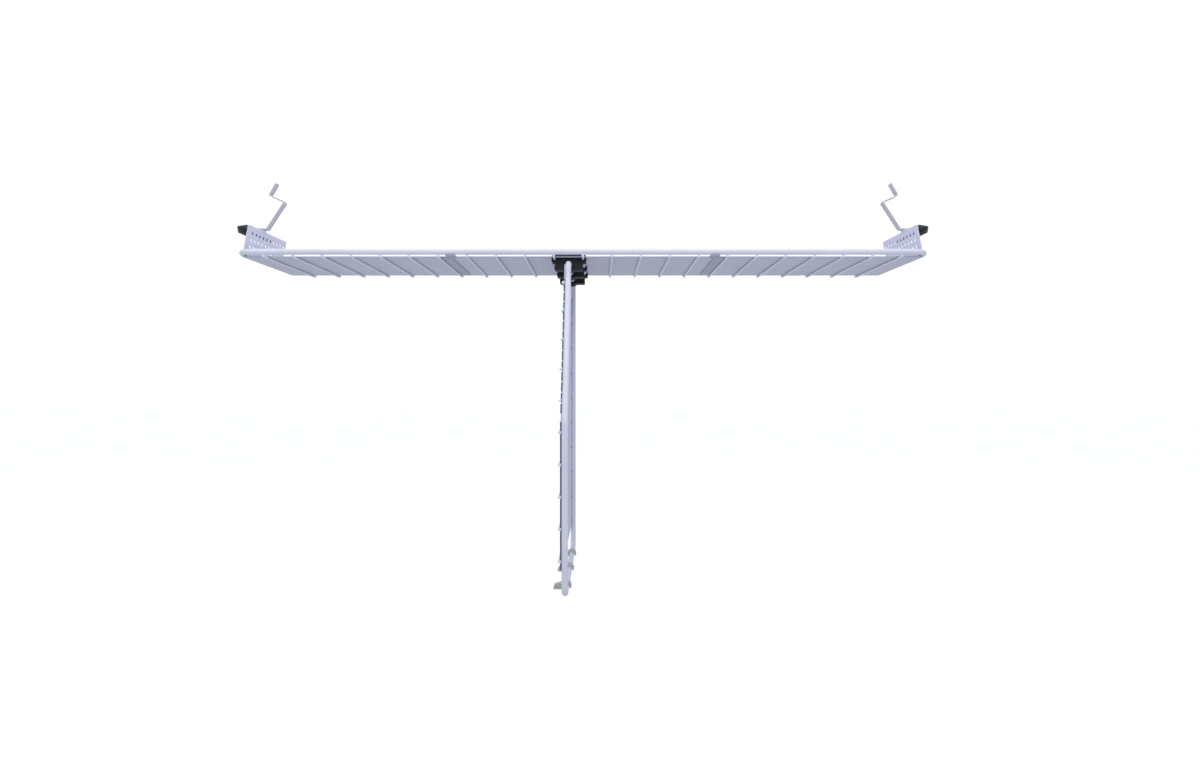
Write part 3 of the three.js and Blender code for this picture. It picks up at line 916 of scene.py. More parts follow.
@dataclass
class WeldBead:
    """A squeezed weld between a rung and a tube.

    Attributes:
        length: Half length along the tube.
        width: Half width across the tube.
        height: Half height.
    """

    length: float = 3.1 * MM
    width: float = 3.0 * MM
    height: float = 1.1 * MM

    def mesh(self, at: Vector, flat_axis: Vector, along_axis: Vector) -> bmesh.types.BMesh:
        """Makes a bead.

        Args:
            at: Middle of the bead.
            flat_axis: Axis from the tube to the rung, along which the bead is flat.
            along_axis: Axis along the tube.

        Returns:
            The bead's mesh.
        """
        bead = bmesh.new()
        bmesh.ops.create_icosphere(bead, subdivisions=2, radius=1)
        across = flat_axis.cross(along_axis)
        for vert in bead.verts:
            x, y, z = vert.co
            vert.co = (at + along_axis * x * self.length + across * y * self.width
                       + flat_axis * z * self.height)
        return bead


BEAD = WeldBead()
UP = Vector((0, 0, 1))
ALONG = Vector((1, 0, 0))


@dataclass
class RackFrame:
    """The bent tube round the rack, with its butt joint in the back run.

    Attributes:
        bend: Bend radius of the centre line.
        step: Turn between two sections in a bend, in degrees.
        joint: Where the tube's ends meet in the back run.
        seam: The butt joint's groove.
    """

    bend: float = 22 * MM
    step: float = 6.0
    joint: float = -325 * MM
    seam: Seam = field(default_factory=Seam)

    def build(self) -> None:
        """Makes the tube as one length with one joint in its back run."""
        low, high = STOCK.rack_middle()
        height = (low.z + high.z) / 2
        corners = [(high.x, high.y), (high.x, low.y), (low.x, low.y), (low.x, high.y)]
        route = Route(corners, [self.bend] * 4, closed=True, step=math.radians(self.step))
        stations = [(Vector((*p, height)), Vector((*h, 0))) for p, h in route.stations]
        stations, radii = self.seam.cut(stations, Vector((self.joint, high.y, height)))
        mesh = swept(stations, UP, radii, STOCK.tube_sides, closed=True)
        settle("rack_tube", mesh, TUBE_COAT, Body.RACK.value, ["rack_tube_left", "rack_tube_right"])


@dataclass
class ShelfSheet:
    """The flat sheet that lies on the rungs.

    Attributes:
        bevel: Width of its worn edges.
        corner: Radius of its corners.
    """

    bevel: float = 0.25 * MM
    corner: float = 4 * MM

    def build(self) -> None:
        """Makes the sheet."""
        low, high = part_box("shelf_sheet")
        outline = rounded([(low.x, low.y), (high.x, low.y), (high.x, high.y), (low.x, high.y)], self.corner)
        mesh = prism(outline, [], Plane.XY, low.z, high.z, self.bevel)
        settle("shelf_panel", mesh, SHEET_COAT, Body.RACK.value, ["shelf_sheet"])


def wire_mesh(route: Route, plane: Plane, run: float, radius: float) -> bmesh.types.BMesh:
    """A wire along a flat route, with softened cut ends.

    Args:
        route: The wire's centre line.
        plane: The plane that the route is drawn in.
        run: Where that plane stands on its third axis.
        radius: The wire's radius.

    Returns:
        The wire's mesh.
    """
    chamfer = STOCK.cut_end * radius
    first, last = route.stations[0], route.stations[-1]
    inset = [(first[0], first[1]), (first[0] + first[1] * chamfer, first[1])]
    tail = [(last[0] - last[1] * chamfer, last[1]), (last[0], last[1])]
    flat = inset + route.stations[1:-1] + tail
    radii = [radius - chamfer, radius] + [radius] * (len(route.stations) - 2) + [radius, radius - chamfer]
    stations = [(plane.place(p.x, p.y, run), plane.place(h.x, h.y, 0)) for p, h in flat]
    return swept(stations, plane.place(0, 0, 1), radii, STOCK.wire_sides, closed=False)


@dataclass
class RackRungs:
    """The wires under the sheet, cranked up at both tips to reach the tubes.

    Attributes:
        count: Number of rungs.
        crank: Length of a cranked tip.
        bend: Bend radius of the crank.
    """

    count: int = 23
    crank: float = 9 * MM
    bend: float = 6 * MM

    def build(self) -> None:
        """Makes every rung and the weld beads at their tips."""
        tube_low, tube_high = STOCK.rack_middle()
        beads = []
        for number in range(1, self.count + 1):
            node = f"rack_rung_{number:02d}"
            low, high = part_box(node)
            deep = low.z + STOCK.wire
            tip = high.z - STOCK.wire
            corners = [(low.y, tip), (low.y + self.crank, deep), (high.y - self.crank, deep), (high.y, tip)]
            route = Route(corners, [self.bend] * 2)
            x = (low.x + high.x) / 2
            mesh = wire_mesh(route, Plane.YZ, x, STOCK.wire)
            settle(f"rung_{number:02d}", mesh, LIT_WIRE_COAT, Body.RACK.value, [node])
            for y in (tube_low.y, tube_high.y):
                at = Vector((x, y, tip + STOCK.wire + STOCK.gap / 2))
                beads.append(BEAD.mesh(at, UP, ALONG))
        settle("rung_welds", merge(beads), LIT_WIRE_COAT, Body.RACK.value)


@dataclass
class CrossStrut:
    """A thin stiffener under the sheet, with an offset tab under the front tube.

    Attributes:
        side: Which strut.
        thickness: Thickness of its strip.
        strip: Width of the long strip.
        tab: Width of the front tab.
        tab_length: From the tab's tip to the end of its inner corner.
        neck: From the tab's tip to where the strip takes its full width.
        flat_start: Length of the level tab before the step.
        step_length: Length of the step down.
        bend: Middle radius of the step's bends.
        corner: Radius of the strip's corners.
        bevel: Width of its worn edges.
    """

    side: Side
    thickness: float = 1.5 * MM
    strip: float = 17 * MM
    tab: float = 17 * MM
    tab_length: float = 19 * MM
    neck: float = 15 * MM
    flat_start: float = 10 * MM
    step_length: float = 3 * MM
    bend: float = 3 * MM
    corner: float = 2 * MM
    bevel: float = 0.25 * MM

    def build(self) -> None:
        """Makes the strut."""
        node = f"cross_strut_{self.side.label}"
        low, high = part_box(node)
        upper, lower = high.z - self.thickness / 2, low.z + self.thickness / 2
        route = Route([(low.y, upper), (low.y + self.flat_start, upper),
                       (low.y + self.flat_start + self.step_length, lower), (high.y, lower)],
                      [self.bend] * 2, step=math.radians(8))
        sign = self.side.value
        outer = high.x if sign > 0 else low.x
        inner = low.x if sign > 0 else high.x
        total = high.y - low.y
        outline = [(0, inner), (self.tab_length, inner), (self.tab_length, outer - sign * self.strip),
                   (total, outer - sign * self.strip), (total, outer), (self.neck, outer),
                   (self.neck, inner + sign * self.tab), (0, inner + sign * self.tab)]
        blank = plate(rounded(outline, self.corner), [], self.thickness, self.bevel)
        # the strut's coat is painted shade, darker than the sheet's
        settle(f"strut_{self.side.label}", folded(route, blank, Plane.YZ), SHADED_STRUT_COAT,
               Body.RACK.value, [node])


@dataclass
class WallBracket:
    """An angle welded on the back tube, screwed to the wall.

    Attributes:
        side: Which bracket.
        thickness: Thickness of its plate.
        bend: Middle radius of its bend.
        corner: Radius of its upper corners.
        foot_corner: Radius of its lower corners.
        hole: Radius of a screw hole.
        hole_sides: Sides of a screw hole.
        spacing: Distance between the holes.
        height: Height of the holes above the tubes' centres.
        bevel: Width of its worn edges.
        lap: How far the upper leg runs into the wall leg.
        weld: Radius of the weld on the tube.
        weld_sink: How far the weld's middle lies below the tube's top.
        weld_margin: From the bracket's ends to the weld's.
    """

    side: Side
    thickness: float = 3 * MM
    bend: float = 3.5 * MM
    corner: float = 5 * MM
    foot_corner: float = 1.5 * MM
    hole: float = 2.75 * MM
    hole_sides: int = 28
    spacing: float = 18 * MM
    height: float = 21 * MM
    bevel: float = 0.4 * MM
    lap: float = 0.5 * MM
    weld: float = 1.3 * MM
    weld_sink: float = 0.4 * MM
    weld_margin: float = 2 * MM

    def build(self) -> None:
        """Makes the leg on the wall, the leg over the tube and the weld between leg and tube."""
        node = f"wall_bracket_{self.side.label}"
        low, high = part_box(node)
        centre = (low.x + high.x) / 2
        seat = STOCK.tube + STOCK.gap
        wall = rounded([(low.x, low.z), (high.x, low.z), (high.x, high.z), (low.x, high.z)],
                       [self.foot_corner, self.foot_corner, self.corner, self.corner])
        holes = [ring(self.hole, self.hole_sides, (centre + way * self.spacing / 2, self.height))
                 for way in (-1, 1)]
        front = high.y - self.thickness
        back = prism(wall, holes, Plane.XZ, front, high.y, self.bevel)
        leg_back = front + self.lap
        leg_top = seat + self.thickness
        section = [(low.y, seat), (leg_back, seat), (leg_back, leg_top + self.bend)]
        section += arc((front - self.bend, leg_top + self.bend), self.bend, 0, -90, 6)
        section += [(low.y, leg_top)]
        leg = prism(section, [], Plane.YZ, low.x, high.x, self.bevel)
        _, tube_high = STOCK.rack_middle()
        line = Route([(low.x + self.weld_margin, tube_high.y), (high.x - self.weld_margin, tube_high.y)], [])
        weld = wire_mesh(line, Plane.XY, seat - self.weld_sink, self.weld)
        settle(f"wall_angle_{self.side.label}", merge([back, leg]), BRACKET_COAT, Body.RACK.value,
               [node])
        settle(f"wall_angle_weld_{self.side.label}", weld, BRACKET_COAT, Body.RACK.value)


# ---------------------------------------------------------------- the rack's ends


@dataclass
class EndBracket:
    """A leaning perforated plate on a foot flange, bent from one sheet.

    Attributes:
        side: Which end.
        thickness: Thickness of the sheet.
        lean: How much further in the top edge is than the foot.
        height: Top edge of the plate above the tubes' centres.
        bend: Middle radius of the fold at the foot.
        hole: Radius of a perforation.
        columns: Perforations along a row.
        rows: Distances of the rows below the top edge.
        margins: From the plate's front and back ends to the first and last column.
        ramp: Where the strap's upstand starts to rise, from the front edge.
        seat: Where the upstand's level seat starts.
        seat_length: Length of the level seat.
        corner: Radius of the plate's corners.
        front_corner: Radius of the two corners of its front edge.
        notch_corner: Radius inside the notch, and behind the upstand.
        ramp_bend: Radius where the upstand starts to rise.
        seat_corner: Radius of the seat's corners.
        hole_sides: Sides of a perforation.
        bevel: Width of its worn edges.
    """

    side: Side
    thickness: float = 1.6 * MM
    lean: float = 10.6 * MM
    height: float = 47.2 * MM
    bend: float = 2.2 * MM
    hole: float = 2.7 * MM
    columns: int = 10
    rows: tuple[float, ...] = (12 * MM, 23.4 * MM, 34.8 * MM)
    margins: Point2 = (16 * MM, 6.8 * MM)
    ramp: float = 20 * MM
    seat: float = 42.8 * MM
    seat_length: float = 11 * MM
    corner: float = 2.5 * MM
    front_corner: float = 1.2 * MM
    notch_corner: float = 0.8 * MM
    ramp_bend: float = 2 * MM
    seat_corner: float = 1 * MM
    hole_sides: int = 20
    bevel: float = 0.25 * MM

    def route(self, low: Vector, high: Vector) -> Route:
        """The middle line of the folded section, from the flange's inner edge to the top edge.

        Args:
            low: Low corner of the box round plate and flange.
            high: High corner of that box.

        Returns:
            The section's route.
        """
        sign = self.side.value
        inner, foot = (low.x, high.x) if sign > 0 else (high.x, low.x)
        half = self.thickness / 2
        corners = [(inner, low.z + half), (foot - sign * half, low.z + half),
                   (foot - sign * (self.lean + half), self.height)]
        return Route(corners, [self.bend], step=math.radians(8))

    def outline(self, start: float, end: float, top: float, notch: Point2,
                rise: float) -> list[Point2]:
        """The flat blank, with the notch over the tube's bend and the upstand on its top edge.

        Args:
            start: The plate's front end.
            end: Its back end.
            top: Its top edge, along the fold.
            notch: The notch's upper edge along the fold, and its back end.
            rise: Height of the upstand.

        Returns:
            The blank's outline.
        """
        ledge, inside = notch
        seat = start + self.seat
        corners = [(0, inside), (ledge, inside), (ledge, start), (top, start), (top, start + self.ramp),
                   (top + rise, seat), (top + rise, seat + self.seat_length), (top, seat + self.seat_length),
                   (top, end), (0, end)]
        radii = [self.corner, self.notch_corner, self.front_corner, self.front_corner, self.ramp_bend,
                 self.seat_corner, self.seat_corner, self.notch_corner, self.corner, self.corner]
        return rounded(corners, radii)

    def build(self) -> None:
        """Makes the plate."""
        node = f"end_bracket_{self.side.label}"
        foot = f"bracket_foot_{self.side.label}"
        (low, high), (foot_low, foot_high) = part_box(node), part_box(foot)
        rise = high.z - self.height
        low.x, high.x = min(low.x, foot_low.x), max(high.x, foot_high.x)
        route = self.route(low, high)
        top = route.lengths()[-1]
        pitch = (high.y - low.y - sum(self.margins)) / (self.columns - 1)
        slope = math.hypot(self.height - low.z, self.lean) / (self.height - low.z)
        first = low.y + self.margins[0]
        holes = [ring(self.hole, self.hole_sides, (top - drop * slope, first + i * pitch))
                 for drop in self.rows for i in range(self.columns)]
        ledge = top - (self.height - STOCK.tube - STOCK.gap) * slope
        outline = self.outline(low.y, high.y, top, (ledge, foot_low.y), rise)
        blank = plate(outline, holes, self.thickness, self.bevel)
        settle(f"end_plate_{self.side.label}", folded(route, blank, Plane.XZ), BRACKET_COAT,
               Body.RACK.value, [node, foot])


@dataclass
class EdgeGrip:
    """A dark folded strip outside an end plate: leg, sloping top and a lip that leans in.

    Attributes:
        side: Which end.
        thickness: Thickness of the strip.
        leg_drop: Height of the leg.
        leg_lean: How much further out the leg's lower edge is.
        fall: How much lower the top's outer edge is.
        lip_lean: How much further in the lip's lower edge is.
        bend: Middle radius of its folds.
        lip_trim: How far the lip's middle line stops above its lowest edge.
        corner: Radius of its corners.
        bevel: Width of its worn edges.
    """

    side: Side
    thickness: float = 1.5 * MM
    leg_drop: float = 6 * MM
    leg_lean: float = 1.2 * MM
    fall: float = 2.8 * MM
    lip_lean: float = 1.8 * MM
    bend: float = 1.6 * MM
    lip_trim: float = 0.225 * MM
    corner: float = 1.2 * MM
    bevel: float = 0.3 * MM

    def build(self) -> None:
        """Makes the strip."""
        node = f"edge_grip_{self.side.label}"
        low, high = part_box(node)
        sign = self.side.value
        half = self.thickness / 2
        inner, outer = (low.x, high.x) if sign > 0 else (high.x, low.x)
        top = high.z - half
        corners = [(inner + sign * (half + self.leg_lean), top - self.leg_drop),
                   (inner + sign * half, top), (outer - sign * half, top - self.fall),
                   (outer - sign * (half + self.lip_lean), low.z + self.lip_trim)]
        route = Route(corners, [self.bend] * 2, step=math.radians(8))
        total = route.lengths()[-1]
        outline = rounded([(0, low.y), (total, low.y), (total, high.y), (0, high.y)], self.corner)
        blank = plate(outline, [], self.thickness, self.bevel)
        settle(f"grip_strip_{self.side.label}", folded(route, blank, Plane.XZ), GRIP_COAT,
               Body.RACK.value, [node])


@dataclass
class ZigzagStrap:
    """A flat strap bent in a zig-zag, standing on an end plate's upstand.

    Attributes:
        side: Which end.
        thickness: Thickness of the strap.
        zigzag: Its corners, as steps inward and up from the seat.
        bend: Middle radius of its bends.
        tip: Radius of its ends' corners.
        crown: Height of its middle line above its edges.
        crown_steps: Strips that the crown is made of.
        bevel: Width of its worn edges.
    """

    side: Side
    thickness: float = 1.8 * MM
    zigzag: tuple[Point2, ...] = ((-6, 0), (7, 0), (38.6, 48.5), (11.5, 60.2), (24.1, 82.5))
    bend: float = 2.4 * MM
    tip: float = 1 * MM
    crown: float = 0.5 * MM
    crown_steps: int = 8
    bevel: float = 0.35 * MM

    def crowned(self, blank: bmesh.types.BMesh, low: float, high: float) -> bmesh.types.BMesh:
        """Arches a flat blank a little across its width.

        Args:
            blank: The flat blank.
            low: Where its width starts.
            high: Where its width ends.

        Returns:
            The arched blank.
        """
        half = (high - low) / 2
        for step in range(1, self.crown_steps):
            everything = list(blank.verts) + list(blank.edges) + list(blank.faces)
            at = (0, low + (high - low) * step / self.crown_steps, 0)
            bmesh.ops.bisect_plane(blank, geom=everything, plane_co=at, plane_no=(0, 1, 0))
        for vert in blank.verts:
            share = (vert.co.y - low - half) / half
            vert.co.z += self.side.value * self.crown * (1 - share * share)
        return blank

    def build(self) -> None:
        """Makes the strap."""
        node = f"strap_{self.side.label}"
        low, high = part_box(node)
        sign = self.side.value
        start = low.x if sign < 0 else high.x
        foot = self.zigzag[0]
        corners = [(start - sign * (inward - foot[0]) * MM, low.z + self.thickness / 2 + up * MM)
                   for inward, up in self.zigzag]
        route = Route(corners, [self.bend] * 3, step=math.radians(8))
        total = route.lengths()[-1]
        outline = rounded([(0, low.y), (total, low.y), (total, high.y), (0, high.y)], self.tip)
        blank = self.crowned(plate(outline, [], self.thickness, self.bevel), low.y, high.y)
        settle(f"zigzag_strap_{self.side.label}", folded(route, blank, Plane.XZ), STRAP_COAT,
               Body.RACK.value, [node])


# ---------------------------------------------------------------- the hinge clips


@dataclass
class HingeClip:
    """A black clip: a block round the hinge tube and two rungs, a cap above the sheet, two screws.

    Attributes:
        place: Which clip.
        pitch: Distance between the two rungs it hooks.
        ear: Reach of an ear outside its rung's centre.
        ear_depth: Depth of the ears below the block's top.
        inset: Block's side inside the rung's centre.
        lobe: Radius of the lobe round the hinge tube.
        lobe_rise: Block's flat underside above the lobe's lowest line.
        bore_sides: Sides of the bore round the hinge tube.
        block_bevel: Width of the block's worn edges.
        chamfer: Width of the cap's sloped edges.
        cap_soft: Width of the cap's worn edges.
        cap_corner: Radius of the cap's upright corners.
        screw_inset: A screw's distance from its rung.
        screw_gap: Between the cap and a screw head.
        head: Radius of a screw head.
        head_height: Height of a screw head.
        head_side: Height of a head's upright side, as a share of its height.
        head_edge: Chamfer under a head.
        head_sides: Sides of a screw.
        shank: Radius of a screw's shank.
        shank_length: Length of the shank, with its pointed end.
        point: Length and width of the chamfer at the shank's end.
        slot_arm: Reach of the cross recess.
        slot_half: Half width of a recess arm.
        slot_floor: Floor of the recess above the head's underside.
        slot_spare: How far the recess's cutter stands above the head.
        slot_bevel: Width of the cutter's bevels.
    """

    place: Clip
    pitch: float = 50 * MM
    ear: float = 5.3 * MM
    ear_depth: float = 7.5 * MM
    inset: float = 0.5 * MM
    lobe: float = 11.5 * MM
    lobe_rise: float = 3.5 * MM
    bore_sides: int = 40
    block_bevel: float = 0.45 * MM
    chamfer: float = 3.2 * MM
    cap_soft: float = 0.4 * MM
    cap_corner: float = 1.2 * MM
    screw_inset: float = 8 * MM
    screw_gap: float = 0.02 * MM
    head: float = 3.2 * MM
    head_height: float = 2.2 * MM
    head_side: float = 0.35
    head_edge: Point2 = (0.096 * MM, 0.12 * MM)
    head_sides: int = 32
    shank: float = 1.5 * MM
    shank_length: float = 16 * MM
    point: Point2 = (1 * MM, 0.3 * MM)
    slot_arm: float = 1.75 * MM
    slot_half: float = 0.42 * MM
    slot_floor: float = 0.75 * MM
    slot_spare: float = 1 * MM
    slot_bevel: float = 0.02 * MM

    def outline(self, top: float, axis: Point2) -> list[Point2]:
        """The block's outer edge, drawn for its right half and mirrored.

        Args:
            top: Height of the block's top.
            axis: The hinge axis in x and z.

        Returns:
            The outline in x and z.
        """
        half = self.pitch / 2
        ear_floor = top - self.ear_depth
        floor = axis[1] - self.lobe + self.lobe_rise
        groove = STOCK.wire + STOCK.gap
        rung = top - STOCK.wire
        start = math.degrees(math.acos((axis[1] - floor) / self.lobe))
        # each corner's x, z and its radius in millimetres
        corners = [(half - groove, top, 0.4), (half - groove, rung - groove, 2.2),
                   (half + groove, rung - groove, 2.2), (half + groove, top, 0.4),
                   (half + self.ear, top, 0.8), (half + self.ear, ear_floor, 1.6),
                   (half - self.inset, ear_floor, 0.8), (half - self.inset, floor, 1.4)]
        lobe = [(x, z, 0.0) for x, z in arc((0, axis[1]), self.lobe, start - 90, -90, 10)]
        right = corners + lobe
        left = [(-x, z, r) for x, z, r in reversed(right[:-1])]
        whole = right + left
        return rounded([(axis[0] + x, z) for x, z, _ in whole], [r * MM for _, _, r in whole])

    def block(self, axis: Point2) -> None:
        """Makes the block below the sheet.

        Args:
            axis: The hinge axis in x and z.
        """
        node = f"hinge_block_{self.place.value}"
        low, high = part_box(node)
        bore = ring(STOCK.tube + STOCK.gap, self.bore_sides, axis)
        mesh = prism(self.outline(high.z, axis), [bore], Plane.XZ, low.y, high.y, self.block_bevel)
        settle(f"clip_block_{self.place.value}", mesh, CLIP_PLASTIC, Body.RACK.value, [node])

    def cap(self) -> Vector:
        """Makes the cap above the sheet.

        Returns:
            The middle of the cap's top.
        """
        node = f"hinge_cap_{self.place.value}"
        low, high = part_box(node)
        shoulder = high.z - self.chamfer
        soft = self.cap_soft
        levels = [(low.z, soft), (low.z + soft, 0), (shoulder - soft / 2, 0),
                  (shoulder + soft / 2, soft / 2), (high.z - soft / 2, self.chamfer - soft / 2),
                  (high.z, self.chamfer + soft / 2)]
        mesh = bmesh.new()
        loops = []
        for height, inset in levels:
            corners = [(low.x + inset, low.y + inset), (high.x - inset, low.y + inset),
                       (high.x - inset, high.y - inset), (low.x + inset, high.y - inset)]
            loops.append([mesh.verts.new((x, y, height)) for x, y in rounded(corners, self.cap_corner)])
        for first, second in zip(loops, loops[1:]):
            for k in range(len(first)):
                n = (k + 1) % len(first)
                mesh.faces.new((first[k], first[n], second[n], second[k]))
        mesh.faces.new(loops[0])
        mesh.faces.new(loops[-1])
        bmesh.ops.recalc_face_normals(mesh, faces=mesh.faces)
        settle(f"clip_cap_{self.place.value}", mesh, CLIP_PLASTIC, Body.RACK.value, [node])
        return Vector(((low.x + high.x) / 2, (low.y + high.y) / 2, high.z))

    def screw(self, seat: Vector) -> bmesh.types.BMesh:
        """A pan head with a cross recess, and the start of its shank.

        Args:
            seat: Middle of the head's underside.

        Returns:
            The screw's mesh.
        """
        side = self.head_height * self.head_side
        crown = [(self.head * math.cos(a), side + (self.head_height - side) * math.sin(a))
                 for a in (math.radians(90 * i / 7) for i in range(1, 7))]
        (point_length, point_width), (edge_width, edge_height) = self.point, self.head_edge
        profile = [(0.0, -self.shank_length), (self.shank - point_width, -self.shank_length),
                   (self.shank, point_length - self.shank_length), (self.shank, 0.0),
                   (self.head - edge_width, 0.0), (self.head, edge_height), (self.head, side)]
        return lathe(profile + crown + [(0.0, self.head_height)], seat, self.head_sides)

    def recess(self, seat: Vector) -> bmesh.types.BMesh:
        """The cutter for a screw's cross recess.

        Args:
            seat: Middle of the head's underside.

        Returns:
            The cutter's mesh.
        """
        arm, half = self.slot_arm, self.slot_half
        top = self.head_height + self.slot_spare
        cross = [(half, half), (arm, half), (arm, -half), (half, -half), (half, -arm), (-half, -arm),
                 (-half, -half), (-arm, -half), (-arm, half), (-half, half), (-half, arm), (half, arm)]
        outline = [(seat.x + a, seat.y + b) for a, b in cross]
        return prism(outline, [], Plane.XY, seat.z + self.slot_floor, seat.z + top, self.slot_bevel)

    def build(self) -> None:
        """Makes the block, the cap and the screws."""
        joint = next(j for j in frame["joints"] if j["name"] == "wing_fold")
        axis = (joint["pos_m"][0], joint["pos_m"][2])
        self.block(axis)
        top = self.cap()
        for number, way in enumerate((-1, 1), start=1):
            x = top.x + way * (self.pitch / 2 - self.screw_inset)
            seat = Vector((x, top.y, top.z + self.screw_gap))
            screw = settle(f"clip_screw_{self.place.value}_{number}", self.screw(seat), ZINC,
                           Body.RACK.value)
            carve(screw, self.recess(seat))


# ---------------------------------------------------------------- the wing


@dataclass
class Wing:
    """The panel that hangs from the clips: a bent tube, a sheet and ten rungs on its left face.

    Attributes:
        overhang: How far each side stands outside the rack's long tubes.
        flare_start: Drop below the hinge axis where the front side starts to swing forward.
        flare_end: Drop where it runs straight down again.
        hinge_bend: Bend radius at the hinge tube.
        flare_bend: Bend radius of the flare.
        bottom_bend: Bend radius at the bottom.
        bend_step: Turn between two sections in a bend, in degrees.
        ear_foot: Drop of the sheet's top edge, above which only its front ear rises.
        ear_gap: Between the ear and the front clip.
        ear_corners: Radii of the ear's front and back corners.
        corner: Radius of the sheet's other corners.
        bevel: Width of the sheet's worn edges.
        rungs: Number of rungs.
        shade_pitch: Distance between the spot welds that interrupt the painted shade strip.
        shade_gap: Length of each interruption.
        shade_width: How far the painted shade strip stands out from the sheet's face.
        shade_reach: How far it reaches in front of and behind the sheet's edge.
        shade_margin: From the sheet's lower edge to the strip's.
        shade_bevel: Width of the strip's rounded edges.
        mark: A small dark mark.
        mark_side: Where the marks lie on the back side's tube, as a direction in x and y.
        seam: The butt joint's groove.
    """

    overhang: float = 4 * MM
    flare_start: float = 22 * MM
    flare_end: float = 268 * MM
    hinge_bend: float = 12 * MM
    flare_bend: float = 40 * MM
    bottom_bend: float = 12 * MM
    bend_step: float = 6.0
    ear_foot: float = 33 * MM
    ear_gap: float = 2 * MM
    ear_corners: Point2 = (1 * MM, 1.5 * MM)
    corner: float = 3 * MM
    bevel: float = 0.25 * MM
    rungs: int = 10
    shade_pitch: float = 17 * MM
    shade_gap: float = 2.4 * MM
    shade_width: float = 0.9 * MM
    shade_reach: Point2 = (0.8 * MM, 2 * MM)
    shade_margin: float = 4 * MM
    shade_bevel: float = 0.2 * MM
    mark: WeldBead = field(default_factory=lambda: WeldBead(1.3 * MM, 1.3 * MM, 0.35 * MM))
    mark_side: Point2 = (-0.72, -0.69)
    seam: Seam = field(default_factory=Seam)

    def __post_init__(self) -> None:
        """Reads the wing's places from the frame."""
        self.low, self.high = STOCK.tube_middle("wing_frame")
        rack_low, _ = STOCK.rack_middle()
        self.x = (self.low.x + self.high.x) / 2
        self.front = rack_low.y - self.overhang
        self.axis_z = self.high.z

    def front_side(self, height: float) -> float:
        """Where the front side runs.

        Args:
            height: Height above the rack tubes' centres.

        Returns:
            The y of the tube's centre there.
        """
        drop = self.axis_z - height
        share = min(max((drop - self.flare_start) / (self.flare_end - self.flare_start), 0), 1)
        return self.front + (self.low.y - self.front) * share

    def tube(self) -> None:
        """Makes the bent tube, its ends meeting between two clips."""
        top = self.axis_z
        corners = [(self.front, top), (self.front, top - self.flare_start),
                   (self.low.y, top - self.flare_end), (self.low.y, self.low.z),
                   (self.high.y, self.low.z), (self.high.y, top)]
        radii = [self.hinge_bend, self.flare_bend, self.flare_bend, self.bottom_bend,
                 self.bottom_bend, self.hinge_bend]
        route = Route(corners, radii, closed=True, step=math.radians(self.bend_step))
        stations = [(Vector((self.x, p.x, p.y)), Vector((0, h.x, h.y))) for p, h in route.stations]
        joint = (middle("hinge_block_front").y + middle("hinge_block_middle").y) / 2
        stations, sizes = self.seam.cut(stations, Vector((self.x, joint, top)))
        mesh = swept(stations, ALONG, sizes, STOCK.tube_sides, closed=True)
        settle("wing_tube", mesh, TUBE_COAT, Body.WING.value, ["wing_frame"])

    def panel(self) -> None:
        """Makes the sheet between the tubes and the rungs."""
        low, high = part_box("wing_sheet")
        bend = self.axis_z - self.flare_end
        foot = self.axis_z - self.ear_foot
        ear_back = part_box("hinge_block_front")[0].y - self.ear_gap
        outline = [(self.front_side(high.z), high.z), (self.front_side(foot), foot),
                   (self.front_side(bend), bend), (self.front_side(low.z), low.z), (high.y, low.z),
                   (high.y, foot), (ear_back, foot), (ear_back, high.z)]
        ear_front, ear_rear = self.ear_corners
        radii = [ear_front, 0, 0, *[self.corner] * 3, ear_rear, ear_rear]
        mesh = prism(rounded(outline, radii), [], Plane.YZ, low.x, high.x, self.bevel)
        settle("wing_panel", mesh, SHEET_COAT, Body.WING.value, ["wing_sheet"])

    def crevice_shade(self) -> None:
        """Makes a dark strip of painted shade along the sheet's front edge, for the crevice by the front
        tube, interrupted by spot welds along the flare.
        """
        low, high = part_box("wing_sheet")
        bend = self.axis_z - self.flare_end
        spans = [(bend, low.z + self.shade_margin)]
        top = high.z - self.ear_foot / 2
        while top - self.shade_pitch > bend:
            spans.append((top, top - self.shade_pitch + self.shade_gap))
            top -= self.shade_pitch
        before, behind = self.shade_reach
        strips = []
        for upper, lower in spans:
            outline = [(self.front_side(z) - before, z) for z in (upper, lower)]
            outline += [(self.front_side(z) + behind, z) for z in (lower, upper)]
            strips.append(prism(outline, [], Plane.YZ, low.x - self.shade_width, high.x, self.shade_bevel))
        # the strips are painted shade for the crevice between the front tube and the sheet
        settle("wing_crevice_shade", merge(strips), CREVICE_SHADE_COAT, Body.WING.value)

    def dark_dots(self) -> None:
        """Makes the small dark marks on the back side's tube, one level with each rung."""
        outwards = Vector((*self.mark_side, 0))
        marks = []
        for number in range(1, self.rungs + 1):
            height = middle(f"wing_rung_{number:02d}").z
            at = Vector((self.x, self.high.y, height)) + outwards * STOCK.tube
            marks.append(self.mark.mesh(at, outwards, UP))
        settle("wing_dark_dots", merge(marks), DARK_DOT_COAT, Body.WING.value)

    def wires(self) -> None:
        """Makes the rungs and their weld beads on both sides."""
        beads = []
        for number in range(1, self.rungs + 1):
            node = f"wing_rung_{number:02d}"
            low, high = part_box(node)
            x, z = (low.x + high.x) / 2, (low.z + high.z) / 2
            mesh = wire_mesh(Route([(low.y, z), (high.y, z)], []), Plane.YZ, x, STOCK.wire)
            settle(f"wing_wire_{number:02d}", mesh, LIT_WIRE_COAT, Body.WING.value, [node])
            for y in (self.front_side(z), self.high.y):
                at = Vector((x + STOCK.wire + STOCK.gap / 2, y, z))
                beads.append(BEAD.mesh(at, ALONG, UP))
        settle("wing_welds", merge(beads), LIT_WIRE_COAT, Body.WING.value)

    def build(self) -> None:
        """Makes the whole wing."""
        self.tube()
        self.panel()
        self.crevice_shade()
        self.dark_dots()
        self.wires()


